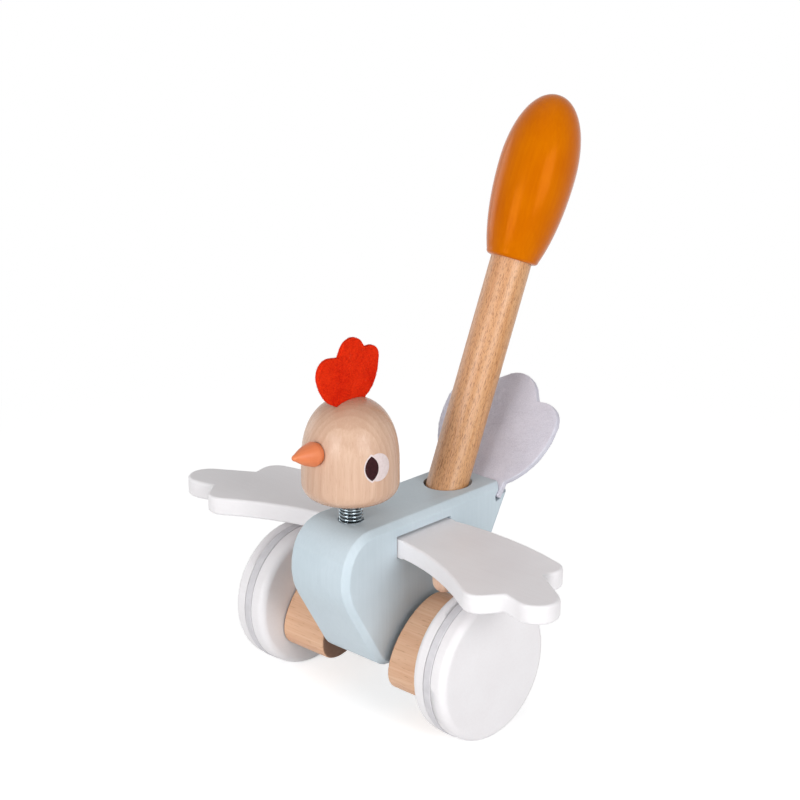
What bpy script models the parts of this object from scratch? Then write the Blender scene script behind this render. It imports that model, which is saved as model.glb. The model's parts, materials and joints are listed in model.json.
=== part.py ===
# Push-along wooden chicken with flapping wings, a head on a spring and a push stick.
# Units are metres. The bird faces -Y, its own left side is +X, and the floor is Z = 0.
# The wheels carry oval cams. Each wing hangs on a hinge pin in the side of the body and
# rides on its cam through a peg, so both wings flap twice in each turn of the wheels.
import math

import bmesh
import bpy
from mathutils import Matrix, Vector

for old in list(bpy.data.objects):
    bpy.data.objects.remove(old, do_unlink=True)

# Clearances
GAP = 0.0003            # between pieces that are glued or seated
RUNNING_GAP = 0.0003    # round a pin or an axle that turns in wood

# Wheels, tyres, axle and cams
TYRE_RADIUS = 0.0388
TYRE_WIDTH = 0.0045
TYRE_DEPTH = 0.0026
TYRE_PROUD = 0.0003
WHEEL_WIDTH = 0.0215
WHEEL_EDGE = 0.0040
WHEEL_SIDES = 60
AXLE_RADIUS = 0.0025
AXLE_GRIP = 0.0120      # how far the axle goes into each wheel
SPACER_THICKNESS = 0.0019
SPACER_RADIUS = 0.0070
CAM_LONG = 0.0282       # half the oval's length
CAM_SHORT = 0.0158      # half its width
CAM_THICKNESS = 0.0306
CAM_TILT = math.radians(41.8)
CAM_EDGE = 0.0012

# Body block
BODY_WIDTH = 0.0420
BODY_CHAMFER = 0.0031   # the flat at 45 degrees round both faces
BODY_CREASE = 0.0007    # how far the paint softens each side of its two creases
BODY_TOP = 0.1061
BELLY_HEIGHT = 0.0285
HEEL_HEIGHT = 0.0065

# Rear wheel in the heel of the body
REAR_RADIUS = 0.0130
REAR_WIDTH = 0.0120
REAR_Y = 0.0425
REAR_EDGE = 0.0015
REAR_SIDES = 36
REAR_PIN_RADIUS = 0.0020
REAR_SIDE_GAP = 0.0010

# Wings
WING_THICKNESS = 0.0100
WING_EDGE = 0.0016
WING_DROP = 0.0140      # from the body's top down to the plate's middle and the hinge
WING_TIP = 0.0964       # from the body's side out to the middle of the wing's outer lobe
HINGE_DEPTH = 0.0028    # from the body's side in to the hinge pin
HINGE_RADIUS = 0.0012
HINGE_REACH = 0.0080    # pin in the wood on each side of the pocket
POCKET_FRONT_GAP = 0.0006
POCKET_TOP_GAP = 0.0015
POCKET_BOTTOM_GAP = 0.0009
POCKET_BACK_GAP = 0.0006
PEG_RADIUS = 0.0060
PEG_X = 0.0365
PEG_Y = 0.0050
PEG_SOCKET = 0.0050
PEG_LIFT = 0.0006       # air between the peg and the highest point of the cam

# Stick and knob
STICK_RADIUS = 0.0110
STICK_LEAN = math.radians(23.3)
STICK_Y = 0.0470        # where its axis meets the body's top
STICK_SOCKET = 0.0420
STICK_HOLE_GAP = 0.0004
STICK_MOUTH_GAP = 0.0014    # the hole is wider near the top
STICK_MOUTH_DEPTH = 0.0100
STICK_FREE = 0.1222     # between the body's top and the knob, along the stick
KNOB_RADIUS = 0.0208
KNOB_LENGTH = 0.0901
KNOB_NECK = 0.0134
KNOB_WAIST = 0.0485     # from the knob's bottom to its widest point
KNOB_POWER = 2.1        # fullness of the knob's top
KNOB_GRIP = 0.0500
KNOB_LIP = 0.0012

# Tail
TAIL_THICKNESS = 0.0036
TAIL_LEAN = math.radians(36.6)
TAIL_Y = 0.0690
TAIL_SIDE_GAP = 0.0005
TAIL_DEPTH = 0.0095
TAIL_LIP = 0.0065       # how far the rear lip of the slot is below the top

# Head, neck and face
HEAD_Y = -0.0254
HEAD_RADIUS = 0.0248
HEAD_HEIGHT = 0.0519
HEAD_DOME = 0.0349
HEAD_DOME_POWER = 2.4
HEAD_ROUND = 0.0083
NECK_LENGTH = 0.0126
SPRING_RADIUS = 0.0063  # outside
SPRING_WIRE = 0.00072   # half the wire's thickness
SPRING_PITCH = 0.00192
SPRING_SOCKET = 0.0080
SPRING_GAP = 0.0004
COMB_THICKNESS = 0.0026
COMB_SOCKET = 0.0085
COMB_MOUTH_REAR = 0.0016    # where the comb starts to spread, below the head's top
COMB_MOUTH_FRONT = 0.0024
COMB_SPREAD = 0.0085
BEAK_RADIUS = 0.0063
BEAK_BASE = 0.0055      # radius of the rounded base where it meets the head
BEAK_LENGTH = 0.0149
BEAK_TIP = 0.0016
BEAK_HEIGHT = 0.0288    # above the head's underside
BEAK_LIFT = math.radians(5.5)
BEAK_TENON = 0.0030
BEAK_TENON_LENGTH = 0.0090
BEAK_SHOULDER = 0.0014  # how far the widest ring is in front of the head
BEAK_SEAT = 0.0014      # depth of the beak's flat seat behind the head's front

# Places worked out from the sizes above
WHEEL_RADIUS = TYRE_RADIUS - TYRE_PROUD
AXLE_HEIGHT = TYRE_RADIUS * math.cos(math.pi / WHEEL_SIDES)
REAR_HEIGHT = REAR_RADIUS * math.cos(math.pi / REAR_SIDES)
HALF_BODY = BODY_WIDTH / 2
CAM_INNER = HALF_BODY + SPACER_THICKNESS + 2 * GAP
WHEEL_INNER = CAM_INNER + CAM_THICKNESS + GAP
WHEEL_MIDDLE = WHEEL_INNER + WHEEL_WIDTH / 2
HINGE_X = HALF_BODY - HINGE_DEPTH
WING_HEIGHT = BODY_TOP - WING_DROP
HEAD_BOTTOM = BODY_TOP + NECK_LENGTH
STICK_UP = Vector((0, math.sin(STICK_LEAN), math.cos(STICK_LEAN)))
REAR_SLOT_RADIUS = REAR_RADIUS + 0.0020

# Outlines. A corner is (along, up, radius); a lobe is (along, up, radius).
BODY_CORNERS = (
    (-0.0433, BODY_TOP, 0.0200),
    (-0.0536, 0.0793, 0.0303),
    (-0.0238, BELLY_HEIGHT, 0.0120),
    (0.0140, BELLY_HEIGHT, 0.0080),
    (REAR_Y - 0.0145, HEEL_HEIGHT, 0.0070),
    (REAR_Y + 0.0115, HEEL_HEIGHT, 0.0080),
    (0.0487, 0.0550, 0.0220),
    (0.0768, BODY_TOP, 0.0012),
)
WING_ROOT_FRONT = (0.0, -0.0130)      # measured out from the body's side, then along the body
WING_ROOT_REAR = (0.0, 0.0260)
WING_FRONT_BEND = (0.0310, -0.0155)
WING_REAR_BEND = (0.0390, 0.0320)
WING_LOBES = ((WING_TIP - 0.0259, -0.0298, 0.0089), (WING_TIP, -0.0183, 0.0113),
              (WING_TIP - 0.0214, 0.0122, 0.0094))
WING_NOTCHES = ((WING_TIP - 0.0127, -0.0268), (WING_TIP - 0.0139, 0.0036))
TAIL_ROOT = 0.0217                    # half the stem's width
TAIL_SPREAD = -0.0012                 # where the fan starts to widen, up from the body's top
TAIL_BEND = (0.0395, 0.0124)
TAIL_SIDE_LOBE = (0.0259, 0.0342, 0.0124)
TAIL_TOP_LOBE = (0.0030, 0.0430, 0.0158)
TAIL_NOTCH = (0.0200, 0.0462)
COMB_ROOT_FRONT = -0.0120             # measured from the head's axis
COMB_ROOT_REAR = 0.0100
COMB_LOBES = ((-0.0145, 0.0152, 0.0078), (0.0011, 0.0221, 0.0082), (0.0132, 0.0178, 0.0061))
COMB_NOTCHES = ((-0.0083, 0.0221), (0.0100, 0.0238))


def knob_radius(height):
    """Radius of the egg-shaped knob at a height above its bottom face."""
    upper = KNOB_LENGTH - KNOB_WAIST
    if height > KNOB_WAIST:
        share = min((height - KNOB_WAIST) / upper, 1.0)
        return KNOB_RADIUS * (1 - share ** KNOB_POWER) ** (1 / KNOB_POWER)
    reach = KNOB_WAIST / math.sqrt(1 - (KNOB_NECK / KNOB_RADIUS) ** 2)
    return KNOB_RADIUS * math.sqrt(1 - ((KNOB_WAIST - height) / reach) ** 2)


def knob_rear():
    """The rearmost reach of the leaning knob, measured from the axle."""
    start = STICK_Y + STICK_FREE * math.sin(STICK_LEAN)
    heights = [KNOB_LENGTH * step / 40 for step in range(41)]
    return max(start + h * math.sin(STICK_LEAN) + knob_radius(h) * math.cos(STICK_LEAN) for h in heights)


BEAK_FRONT = HEAD_Y - HEAD_RADIUS - BEAK_LENGTH * math.cos(BEAK_LIFT)
AXLE_Y = -(BEAK_FRONT + knob_rear()) / 2    # centres the toy's box on the origin


def material(name, color, roughness, metallic=0.0):
    made = bpy.data.materials.new(name)
    made.use_nodes = True
    shader = made.node_tree.nodes["Principled BSDF"]
    shader.inputs["Base Color"].default_value = (*color, 1)
    shader.inputs["Roughness"].default_value = roughness
    shader.inputs["Metallic"].default_value = metallic
    return made


BEECH = material("beech", (0.76, 0.50, 0.34), 0.55)
BLUE_PAINT = material("blue_paint", (0.55, 0.66, 0.70), 0.45)
WHITE_PAINT = material("white_paint", (0.86, 0.85, 0.86), 0.45)
ORANGE_LACQUER = material("orange_lacquer", (0.72, 0.20, 0.01), 0.35)
CORAL_LACQUER = material("coral_lacquer", (0.87, 0.27, 0.10), 0.4)
RED_FELT = material("red_felt", (0.78, 0.02, 0.005), 0.95)
LILAC_FELT = material("lilac_felt", (0.66, 0.61, 0.68), 0.95)
GREY_SILICONE = material("grey_silicone", (0.50, 0.49, 0.53), 0.5)
STEEL = material("steel", (0.62, 0.62, 0.64), 0.3, 1.0)


def empty(name, place, parent=None):
    made = bpy.data.objects.new(name, None)
    made.location = place
    made.parent = parent
    bpy.context.collection.objects.link(made)
    return made


TOY = empty("toy_frame", (0, AXLE_Y, 0))
WHEELSET = empty("wheelset_axis", (0, 0, AXLE_HEIGHT), TOY)
REAR_AXIS = empty("rear_wheel_axis", (0, REAR_Y, REAR_HEIGHT), TOY)
NECK = empty("neck_pivot", (0, HEAD_Y, BODY_TOP + NECK_LENGTH / 2), TOY)
HINGES = {side: empty(name, (side * HINGE_X, 0, WING_HEIGHT), TOY)
          for side, name in ((1, "left_wing_hinge"), (-1, "right_wing_hinge"))}


def finish(name, mesh_builder, look, parent, place=(0, 0, 0), turn=None):
    """Make an object from a bmesh, given in the parent's axes, with faces pointing out."""
    bmesh.ops.remove_doubles(mesh_builder, verts=mesh_builder.verts, dist=1e-6)
    bmesh.ops.recalc_face_normals(mesh_builder, faces=mesh_builder.faces)
    mesh = bpy.data.meshes.new(name)
    mesh_builder.to_mesh(mesh)
    mesh_builder.free()
    mesh.shade_smooth()
    mesh.set_sharp_from_angle(angle=math.radians(35))
    made = bpy.data.objects.new(name, mesh)
    made.data.materials.append(look)
    made.parent = parent
    made.matrix_local = Matrix.Translation(place) @ (turn or Matrix())
    bpy.context.collection.objects.link(made)
    return made


def lathe(profile, sides, phase=0.0):
    """Turn a profile of (radius, height) points about Z. Radius 0 points become poles."""
    made = bmesh.new()
    rings = []
    for radius, height in profile:
        if radius < 1e-7:
            rings.append([made.verts.new((0, 0, height))])
            continue
        angles = [phase + 2 * math.pi * step / sides for step in range(sides)]
        rings.append([made.verts.new((radius * math.cos(a), radius * math.sin(a), height)) for a in angles])
    for low, high in zip(rings, rings[1:]):
        for step in range(sides):
            after = (step + 1) % sides
            corners = [low[step % len(low)], low[after % len(low)],
                       high[after % len(high)], high[step % len(high)]]
            corners = list(dict.fromkeys(corners))
            if len(corners) > 2:
                made.faces.new(corners)
    for ring in (rings[0], rings[-1]):
        if len(ring) > 1:
            made.faces.new(ring)
    return made


def prism(outline, low, high):
    """Extrude a closed outline of (x, y) points from z = low to z = high."""
    made = bmesh.new()
    bottom = [made.verts.new((x, y, low)) for x, y in outline]
    top = [made.verts.new((x, y, high)) for x, y in outline]
    made.faces.new(bottom)
    made.faces.new(top)
    for step in range(len(outline)):
        after = (step + 1) % len(outline)
        made.faces.new((bottom[step], bottom[after], top[after], top[step]))
    return made


def arc(centre, radius, start, end, steps):
    """Points on a circle from the start angle to the end angle, both included."""
    angles = [start + (end - start) * step / steps for step in range(steps + 1)]
    return [(centre[0] + radius * math.cos(a), centre[1] + radius * math.sin(a)) for a in angles]


def round_corners(corners, spacing=math.radians(14)):
    """A closed outline through corners of (x, y, radius), each rounded with its own radius."""
    outline = []
    count = len(corners)
    for index, (x, y, radius) in enumerate(corners):
        here = Vector((x, y))
        back = (Vector(corners[index - 1][:2]) - here).normalized()
        ahead = (Vector(corners[(index + 1) % count][:2]) - here).normalized()
        half = back.angle(ahead) / 2
        centre = here + (back + ahead).normalized() * radius / math.sin(half)
        first = here + back * radius / math.tan(half) - centre
        turn = (math.pi - 2 * half) * (1 if back.cross(ahead) < 0 else -1)
        start = math.atan2(first.y, first.x)
        steps = max(1, round(abs(turn) / spacing))
        outline += arc(centre, radius, start, start + turn, steps)
    return outline


def inset_corners(corners, inset):
    """Corners of an anticlockwise outline moved inwards, with the radii that keep it parallel."""
    moved = []
    count = len(corners)
    for index, (x, y, radius) in enumerate(corners):
        here = Vector((x, y))
        one = (here - Vector(corners[index - 1][:2])).normalized()
        two = (Vector(corners[(index + 1) % count][:2]) - here).normalized()
        inward = Vector((-one.y - two.y, one.x + two.x)) / (1 + one.dot(two))
        place = here + inward * inset
        radius = max(radius - inset, 0.0004) if one.cross(two) > 0 else radius + inset
        moved.append((place.x, place.y, radius))
    return moved


def chamfered_slab(corners, half, chamfer, crease):
    """A slab with the outline, its faces at -half and +half, and flats at 45 degrees with soft creases."""
    made = bmesh.new()
    across = crease * math.sqrt(0.5)
    first = [(0, half - chamfer - crease), (across, half - chamfer + across)]
    second = [(chamfer - across, half - across), (chamfer + crease, half)]
    levels = [first[0], *bend(first[0], (0, half - chamfer), first[1], 2), first[1],
              second[0], *bend(second[0], (chamfer, half), second[1], 2), second[1]]
    rings = []
    for inset, height in [(inset, -height) for inset, height in reversed(levels)] + levels:
        outline = round_corners(inset_corners(corners, inset))
        rings.append([made.verts.new((x, y, height)) for x, y in outline])
    for low, high in zip(rings, rings[1:]):
        for step in range(len(low)):
            after = (step + 1) % len(low)
            made.faces.new((low[step], low[after], high[after], high[step]))
    made.faces.new(rings[0])
    made.faces.new(rings[-1])
    return made


def tangent_angle(point, lobe, side):
    """Angle on a lobe's circle where a straight line from the point touches it."""
    across = Vector(point) - Vector(lobe[:2])
    return math.atan2(across.y, across.x) + side * math.acos(min(1, lobe[2] / across.length))


def bend(start, control, end, steps=6):
    """Inner points of a quadratic curve."""
    shares = [step / steps for step in range(1, steps)]
    return [tuple((1 - t) ** 2 * a + 2 * t * (1 - t) * b + t * t * c for a, b, c in zip(start, control, end))
            for t in shares]


def lobed_outline(root_start, first_bend, lobes, notches, last_bend, root_end, steps=8):
    """From one root corner round a row of lobes, with notches between them, to the other corner."""
    outline = [root_start]
    leads = [first_bend, *notches]
    follows = [*notches, last_bend]
    for index, (lobe, lead, follow) in enumerate(zip(lobes, leads, follows)):
        start = tangent_angle(lead, lobe, 1)
        end = tangent_angle(follow, lobe, -1)
        while end < start:
            end += 2 * math.pi
        touch = arc(lobe[:2], lobe[2], start, end, steps)
        if index == 0:
            outline += bend(root_start, first_bend, touch[0])
        outline += touch
        if index < len(notches):
            outline.append(notches[index])
    outline += bend(outline[-1], last_bend, root_end)
    return outline + [root_end]


def bevel(thing, width, segments, angle=50):
    made = thing.modifiers.new("edge_round", "BEVEL")
    made.width = width
    made.segments = segments
    made.limit_method = "ANGLE"
    made.angle_limit = math.radians(angle)
    made.use_clamp_overlap = True
    made.miter_outer = "MITER_ARC"


def cut(thing, cutter):
    cutter.hide_render = True
    cutter.display_type = "WIRE"
    made = thing.modifiers.new("cut_" + cutter.name, "BOOLEAN")
    made.operation = "DIFFERENCE"
    made.solver = "EXACT"
    made.object = cutter


def rod(name, radius, length, look, parent, place, turn=None, sides=24, ease=0.0):
    """A round bar that starts at the place and runs along its own +Z, with eased ends."""
    if ease:
        profile = [(radius - ease, 0), (radius, ease), (radius, length - ease), (radius - ease, length)]
    else:
        profile = [(radius, 0), (radius, length)]
    return finish(name, lathe(profile, sides, math.pi / sides), look, parent, place, turn)


ALONG_X = Matrix.Rotation(math.pi / 2, 4, "Y")
ALONG_Y = Matrix.Rotation(-math.pi / 2, 4, "X")
SIDE_VIEW = Matrix(((0, 0, 1, 0), (1, 0, 0, 0), (0, 1, 0, 0), (0, 0, 0, 1)))   # (y, z, x) to (x, y, z)
STICK_TURN = Matrix.Rotation(-STICK_LEAN, 4, "X")


def make_body():
    slab = chamfered_slab(BODY_CORNERS, HALF_BODY, BODY_CHAMFER, BODY_CREASE)
    return finish("body_block", slab, BLUE_PAINT, TOY, turn=SIDE_VIEW)


def cut_body(body):
    axle_bore = rod("axle_bore", AXLE_RADIUS + RUNNING_GAP, BODY_WIDTH + 0.004, STEEL, WHEELSET,
                    (-HALF_BODY - 0.002, 0, 0), ALONG_X)
    socket_foot = Vector((0, STICK_Y, BODY_TOP)) - STICK_UP * (STICK_SOCKET + GAP)
    seat, mouth = STICK_RADIUS + STICK_HOLE_GAP, STICK_RADIUS + STICK_MOUTH_GAP
    step = STICK_SOCKET - STICK_MOUTH_DEPTH
    stick_profile = [(seat, 0), (seat, step), (mouth, step), (mouth, STICK_SOCKET + 0.03)]
    stick_hole = finish("stick_hole", lathe(stick_profile, 40), STEEL, TOY, socket_foot, STICK_TURN)
    spring_hole = rod("spring_hole", SPRING_RADIUS + SPRING_GAP, SPRING_SOCKET + 0.01, STEEL, TOY,
                      (0, HEAD_Y, BODY_TOP - SPRING_SOCKET - GAP), sides=24)
    rear_pin_bore = rod("rear_pin_bore", REAR_PIN_RADIUS + GAP, BODY_WIDTH + 0.004, STEEL, REAR_AXIS,
                        (-HALF_BODY - 0.002, 0, 0), ALONG_X, sides=16)
    half_slot = REAR_WIDTH / 2 + REAR_SIDE_GAP
    slot_profile = [(REAR_SLOT_RADIUS, -half_slot), (REAR_SLOT_RADIUS, half_slot)]
    rear_slot = finish("rear_slot", lathe(slot_profile, 32), STEEL, REAR_AXIS, turn=ALONG_X)
    for cutter in (axle_bore, stick_hole, spring_hole, rear_pin_bore, rear_slot, tail_slot()):
        cut(body, cutter)
    for side, hinge in HINGES.items():
        for cutter in wing_pocket(side, hinge):
            cut(body, cutter)


def tail_slot():
    """A slot in the rear corner at the tail's lean, with a V-shaped floor and a low, level rear lip."""
    half = TAIL_THICKNESS / 2 + TAIL_SIDE_GAP
    depth = TAIL_DEPTH + GAP
    lip = (half * math.sin(TAIL_LEAN) - TAIL_LIP) / math.cos(TAIL_LEAN)
    reach = 0.012
    outline = [(-half, 0.01), (-half, -depth), (0, -depth - half), (half, -depth), (half, lip),
               (half + reach * math.cos(TAIL_LEAN), lip + reach * math.sin(TAIL_LEAN)),
               (half + reach * math.cos(TAIL_LEAN), 0.01)]
    turn = Matrix.Rotation(-TAIL_LEAN, 4, "X") @ SIDE_VIEW
    return finish("tail_slot", prism(outline, -HALF_BODY - 0.002, HALF_BODY + 0.002), STEEL, TOY,
                  (0, TAIL_Y, BODY_TOP), turn)


def wing_pocket(side, hinge):
    """The pocket for the wing's root and the hole for its hinge pin, in the hinge's axes."""
    half = WING_THICKNESS / 2
    front, rear = WING_ROOT_FRONT[1] - POCKET_FRONT_GAP, WING_ROOT_REAR[1] + POCKET_FRONT_GAP
    back = -half - POCKET_BACK_GAP
    mouth = HINGE_DEPTH + 0.002
    low, high = -half - POCKET_BOTTOM_GAP, half + POCKET_TOP_GAP
    outline = [(mouth, low), (mouth, high), (back, high), (back, low)]
    outline = [(side * x, z) for x, z in outline]
    turn = Matrix.Rotation(math.pi / 2, 4, "X")    # an (x, z) outline, extruded along -Y
    pocket = finish(f"wing_pocket_{side}", prism(outline, -rear, -front), STEEL, hinge, turn=turn)
    length = rear - front + 2 * HINGE_REACH + 2 * GAP
    pin_hole = rod(f"hinge_pin_hole_{side}", HINGE_RADIUS + GAP, length, STEEL, hinge,
                   (0, front - HINGE_REACH - GAP, 0), ALONG_Y, sides=12)
    return pocket, pin_hole


def wheel_profile(radius, width, edge, steps=5):
    """(radius, along) points of a plain disc wheel with rounded edges, closed at both poles."""
    half = width / 2
    rounds = [(radius - edge + edge * math.cos(a), half - edge + edge * math.sin(a))
              for a in (math.pi / 2 * step / steps for step in range(steps + 1))]
    return [(0, -half)] + [(r, -z) for r, z in reversed(rounds)] + rounds + [(0, half)]


def make_wheels():
    for side, name in ((1, "left"), (-1, "right")):
        half_groove = TYRE_WIDTH / 2 + GAP
        groove = WHEEL_RADIUS - TYRE_DEPTH + TYRE_PROUD - GAP
        profile = wheel_profile(WHEEL_RADIUS, WHEEL_WIDTH, WHEEL_EDGE)
        middle = len(profile) // 2
        profile[middle:middle] = [(WHEEL_RADIUS, -half_groove), (groove, -half_groove),
                                  (groove, half_groove), (WHEEL_RADIUS, half_groove)]
        wheel = finish(f"{name}_wheel", lathe(profile, WHEEL_SIDES, math.pi / WHEEL_SIDES), WHITE_PAINT,
                       WHEELSET, (side * WHEEL_MIDDLE, 0, 0), ALONG_X)
        start = min(side * (WHEEL_INNER - 0.002), side * (WHEEL_INNER + AXLE_GRIP + GAP))
        cut(wheel, rod(f"{name}_wheel_bore", AXLE_RADIUS + GAP, AXLE_GRIP + GAP + 0.002, STEEL, WHEELSET,
                       (start, 0, 0), ALONG_X))
        half = TYRE_WIDTH / 2
        inner = TYRE_RADIUS - TYRE_DEPTH
        ring = [(inner, -half), (TYRE_RADIUS - 0.0003, -half), (TYRE_RADIUS, -half + 0.0003),
                (TYRE_RADIUS, half - 0.0003), (TYRE_RADIUS - 0.0003, half), (inner, half)]
        finish(f"{name}_tyre", ring_lathe(ring, WHEEL_SIDES, math.pi / WHEEL_SIDES), GREY_SILICONE,
               WHEELSET, (side * WHEEL_MIDDLE, 0, 0), ALONG_X)


def ring_lathe(section, sides, phase=0.0):
    """Turn a closed section of (radius, height) points about Z into a ring."""
    made = bmesh.new()
    turns = []
    for step in range(sides):
        a = phase + 2 * math.pi * step / sides
        turns.append([made.verts.new((r * math.cos(a), r * math.sin(a), z)) for r, z in section])
    for step in range(sides):
        here, after = turns[step], turns[(step + 1) % sides]
        for index in range(len(section)):
            ahead = (index + 1) % len(section)
            made.faces.new((here[index], here[ahead], after[ahead], after[index]))
    return made


def make_axle():
    reach = WHEEL_INNER + AXLE_GRIP
    rod("axle", AXLE_RADIUS, 2 * reach, STEEL, WHEELSET, (-reach, 0, 0), ALONG_X, sides=24, ease=0.0005)


def make_cams():
    for side, name in ((1, "left"), (-1, "right")):
        steps = 44
        oval = []
        for step in range(steps):
            a = 2 * math.pi * step / steps
            along, up = CAM_LONG * math.cos(a), CAM_SHORT * math.sin(a)
            oval.append((along * math.cos(CAM_TILT) - up * math.sin(CAM_TILT),
                         along * math.sin(CAM_TILT) + up * math.cos(CAM_TILT)))
        low, high = sorted((side * CAM_INNER, side * (CAM_INNER + CAM_THICKNESS)))
        cam = finish(f"{name}_cam", prism(oval, low, high), BEECH, WHEELSET, turn=SIDE_VIEW)
        bevel(cam, CAM_EDGE, 2)
        cut(cam, rod(f"{name}_cam_bore", AXLE_RADIUS + GAP, CAM_THICKNESS + 0.004, STEEL, WHEELSET,
                     (low - 0.002, 0, 0), ALONG_X))
        section = [(AXLE_RADIUS + GAP, 0), (SPACER_RADIUS, 0), (SPACER_RADIUS, SPACER_THICKNESS),
                   (AXLE_RADIUS + GAP, SPACER_THICKNESS)]
        start = min(side * (HALF_BODY + GAP), side * (HALF_BODY + GAP + SPACER_THICKNESS))
        finish(f"{name}_spacer", ring_lathe(section, 24), STEEL, WHEELSET, (start, 0, 0), ALONG_X)


def make_wings():
    half = WING_THICKNESS / 2
    front, rear = WING_ROOT_FRONT[1], WING_ROOT_REAR[1]
    for side, name in ((1, "left"), (-1, "right")):
        hinge = HINGES[side]
        outline = lobed_outline(WING_ROOT_FRONT, WING_FRONT_BEND, WING_LOBES, WING_NOTCHES,
                                WING_REAR_BEND, WING_ROOT_REAR)
        outline = [(side * (x + HINGE_DEPTH), y) for x, y in outline]
        wing = finish(f"{name}_wing", wing_solid(outline, side, half), WHITE_PAINT, hinge)
        cut(wing, rod(f"{name}_wing_pin_hole", HINGE_RADIUS + RUNNING_GAP, rear - front + 0.004, STEEL, hinge,
                      (0, front - 0.002, 0), ALONG_Y, sides=12))
        peg_x = side * (PEG_X - HINGE_X)
        cut(wing, rod(f"{name}_peg_socket", PEG_RADIUS + GAP, PEG_SOCKET + GAP + 0.002, STEEL, hinge,
                      (peg_x, PEG_Y, -half - 0.002), sides=28))
        reach = rear - front + 2 * HINGE_REACH + 2 * POCKET_FRONT_GAP
        rod(f"{name}_hinge_pin", HINGE_RADIUS, reach, STEEL, TOY,
            (side * HINGE_X, front - POCKET_FRONT_GAP - HINGE_REACH, WING_HEIGHT), ALONG_Y, sides=12)
        make_peg(name, hinge, peg_x, half)


def wing_solid(outline, side, half):
    """The plate with rounded edges, and a root that ends in a half round about the hinge pin."""
    made = bmesh.new()
    root = side * HINGE_DEPTH
    count = len(outline)
    levels = [(math.pi / 2 * step / 3) for step in range(4)]
    rings = []
    for sign in (-1, 1):
        for level in (levels if sign > 0 else reversed(levels)):
            inset = WING_EDGE * (1 - math.cos(level))
            height = sign * (half - WING_EDGE + WING_EDGE * math.sin(level))
            inner = inset_outline(outline, inset, side, root)
            rings.append([made.verts.new((x, y, height)) for x, y in inner])
    for low, high in zip(rings, rings[1:]):
        for step in range(count - 1):
            made.faces.new((low[step], low[step + 1], high[step + 1], high[step]))
    made.faces.new(rings[0])
    made.faces.new(rings[-1])
    made.faces.new([ring[0] for ring in rings] + [ring[-1] for ring in reversed(rings)])
    bmesh.ops.recalc_face_normals(made, faces=made.faces)
    knuckle = bmesh.new()
    front, rear = WING_ROOT_FRONT[1], WING_ROOT_REAR[1]
    section = [(root + side * WING_EDGE * 2, -half), (root + side * WING_EDGE * 2, half)]
    section += [(side * half * math.cos(a), half * math.sin(a))
                for a in (math.pi / 2 + math.pi * step / 12 for step in range(13))]
    ends = [[knuckle.verts.new((x, y, z)) for x, z in section] for y in (front, rear)]
    knuckle.faces.new(ends[0])
    knuckle.faces.new(ends[1])
    for step in range(len(section)):
        after = (step + 1) % len(section)
        knuckle.faces.new((ends[0][step], ends[0][after], ends[1][after], ends[1][step]))
    bmesh.ops.recalc_face_normals(knuckle, faces=knuckle.faces)
    return joined(made, knuckle)


def joined(first, second):
    """The union of two closed shapes."""
    things = []
    for index, shape in enumerate((first, second)):
        mesh = bpy.data.meshes.new(f"union_{index}")
        shape.to_mesh(mesh)
        shape.free()
        thing = bpy.data.objects.new(f"union_{index}", mesh)
        bpy.context.collection.objects.link(thing)
        things.append(thing)
    union = things[0].modifiers.new("union", "BOOLEAN")
    union.operation = "UNION"
    union.solver = "EXACT"
    union.object = things[1]
    evaluated = things[0].evaluated_get(bpy.context.evaluated_depsgraph_get())
    made = bmesh.new()
    made.from_mesh(evaluated.to_mesh())
    evaluated.to_mesh_clear()
    for thing in things:
        bpy.data.objects.remove(thing, do_unlink=True)
    return made


def inset_outline(outline, inset, side, root):
    """The open outline moved inwards by the inset. Its two ends stay on the root line."""
    moved = []
    last = len(outline) - 1
    for index, point in enumerate(outline):
        here = Vector(point)
        ahead = Vector(outline[min(index + 1, last)]) - here
        behind = here - Vector(outline[max(index - 1, 0)]) if index else ahead
        ahead = ahead if index < last else behind
        one, two = behind.normalized(), ahead.normalized()
        inward = side * Vector((-one.y - two.y, one.x + two.x)).normalized()
        across = side * Vector((-one.y, one.x))
        place = here + inward * inset / max(0.35, inward.dot(across))
        if index in (0, last):
            place.x = root
        moved.append(place)
    return moved


def make_peg(name, hinge, peg_x, half):
    """A round-nosed dowel. Its nose clears the cam's highest point at the stored wing angle."""
    top = -half + PEG_SOCKET
    bottom = AXLE_HEIGHT + CAM_LONG + PEG_LIFT - WING_HEIGHT
    profile = [(0, bottom)]
    steps = 6
    profile += [(PEG_RADIUS * math.sin(a), bottom + PEG_RADIUS * (1 - math.cos(a)))
                for a in (math.pi / 2 * step / steps for step in range(1, steps + 1))]
    profile += [(PEG_RADIUS, top), (0, top)]
    finish(f"{name}_wing_peg", lathe(profile, 28, math.pi / 28), BEECH, hinge, (peg_x, PEG_Y, 0))


def make_stick():
    foot = Vector((0, STICK_Y, BODY_TOP)) - STICK_UP * STICK_SOCKET
    length = STICK_SOCKET + STICK_FREE + KNOB_GRIP
    rod("stick", STICK_RADIUS, length, BEECH, TOY, foot, STICK_TURN, sides=36, ease=0.0008)
    steps = 18
    heights = [KNOB_LENGTH * (1 - math.cos(math.pi * step / steps)) / 2 for step in range(1, steps)]
    profile = [(0, 0), (KNOB_NECK - KNOB_LIP, 0)]
    profile += [(knob_radius(KNOB_LIP), KNOB_LIP)]
    profile += [(knob_radius(h), h) for h in heights if h > 1.6 * KNOB_LIP]
    profile += [(0, KNOB_LENGTH)]
    bottom = Vector((0, STICK_Y, BODY_TOP)) + STICK_UP * STICK_FREE
    knob = finish("knob", lathe(profile, 40), ORANGE_LACQUER, TOY, bottom, STICK_TURN)
    cut(knob, rod("knob_bore", STICK_RADIUS + GAP, KNOB_GRIP + GAP + 0.002, STEEL, TOY,
                  bottom - STICK_UP * 0.002, STICK_TURN, sides=36))


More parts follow.
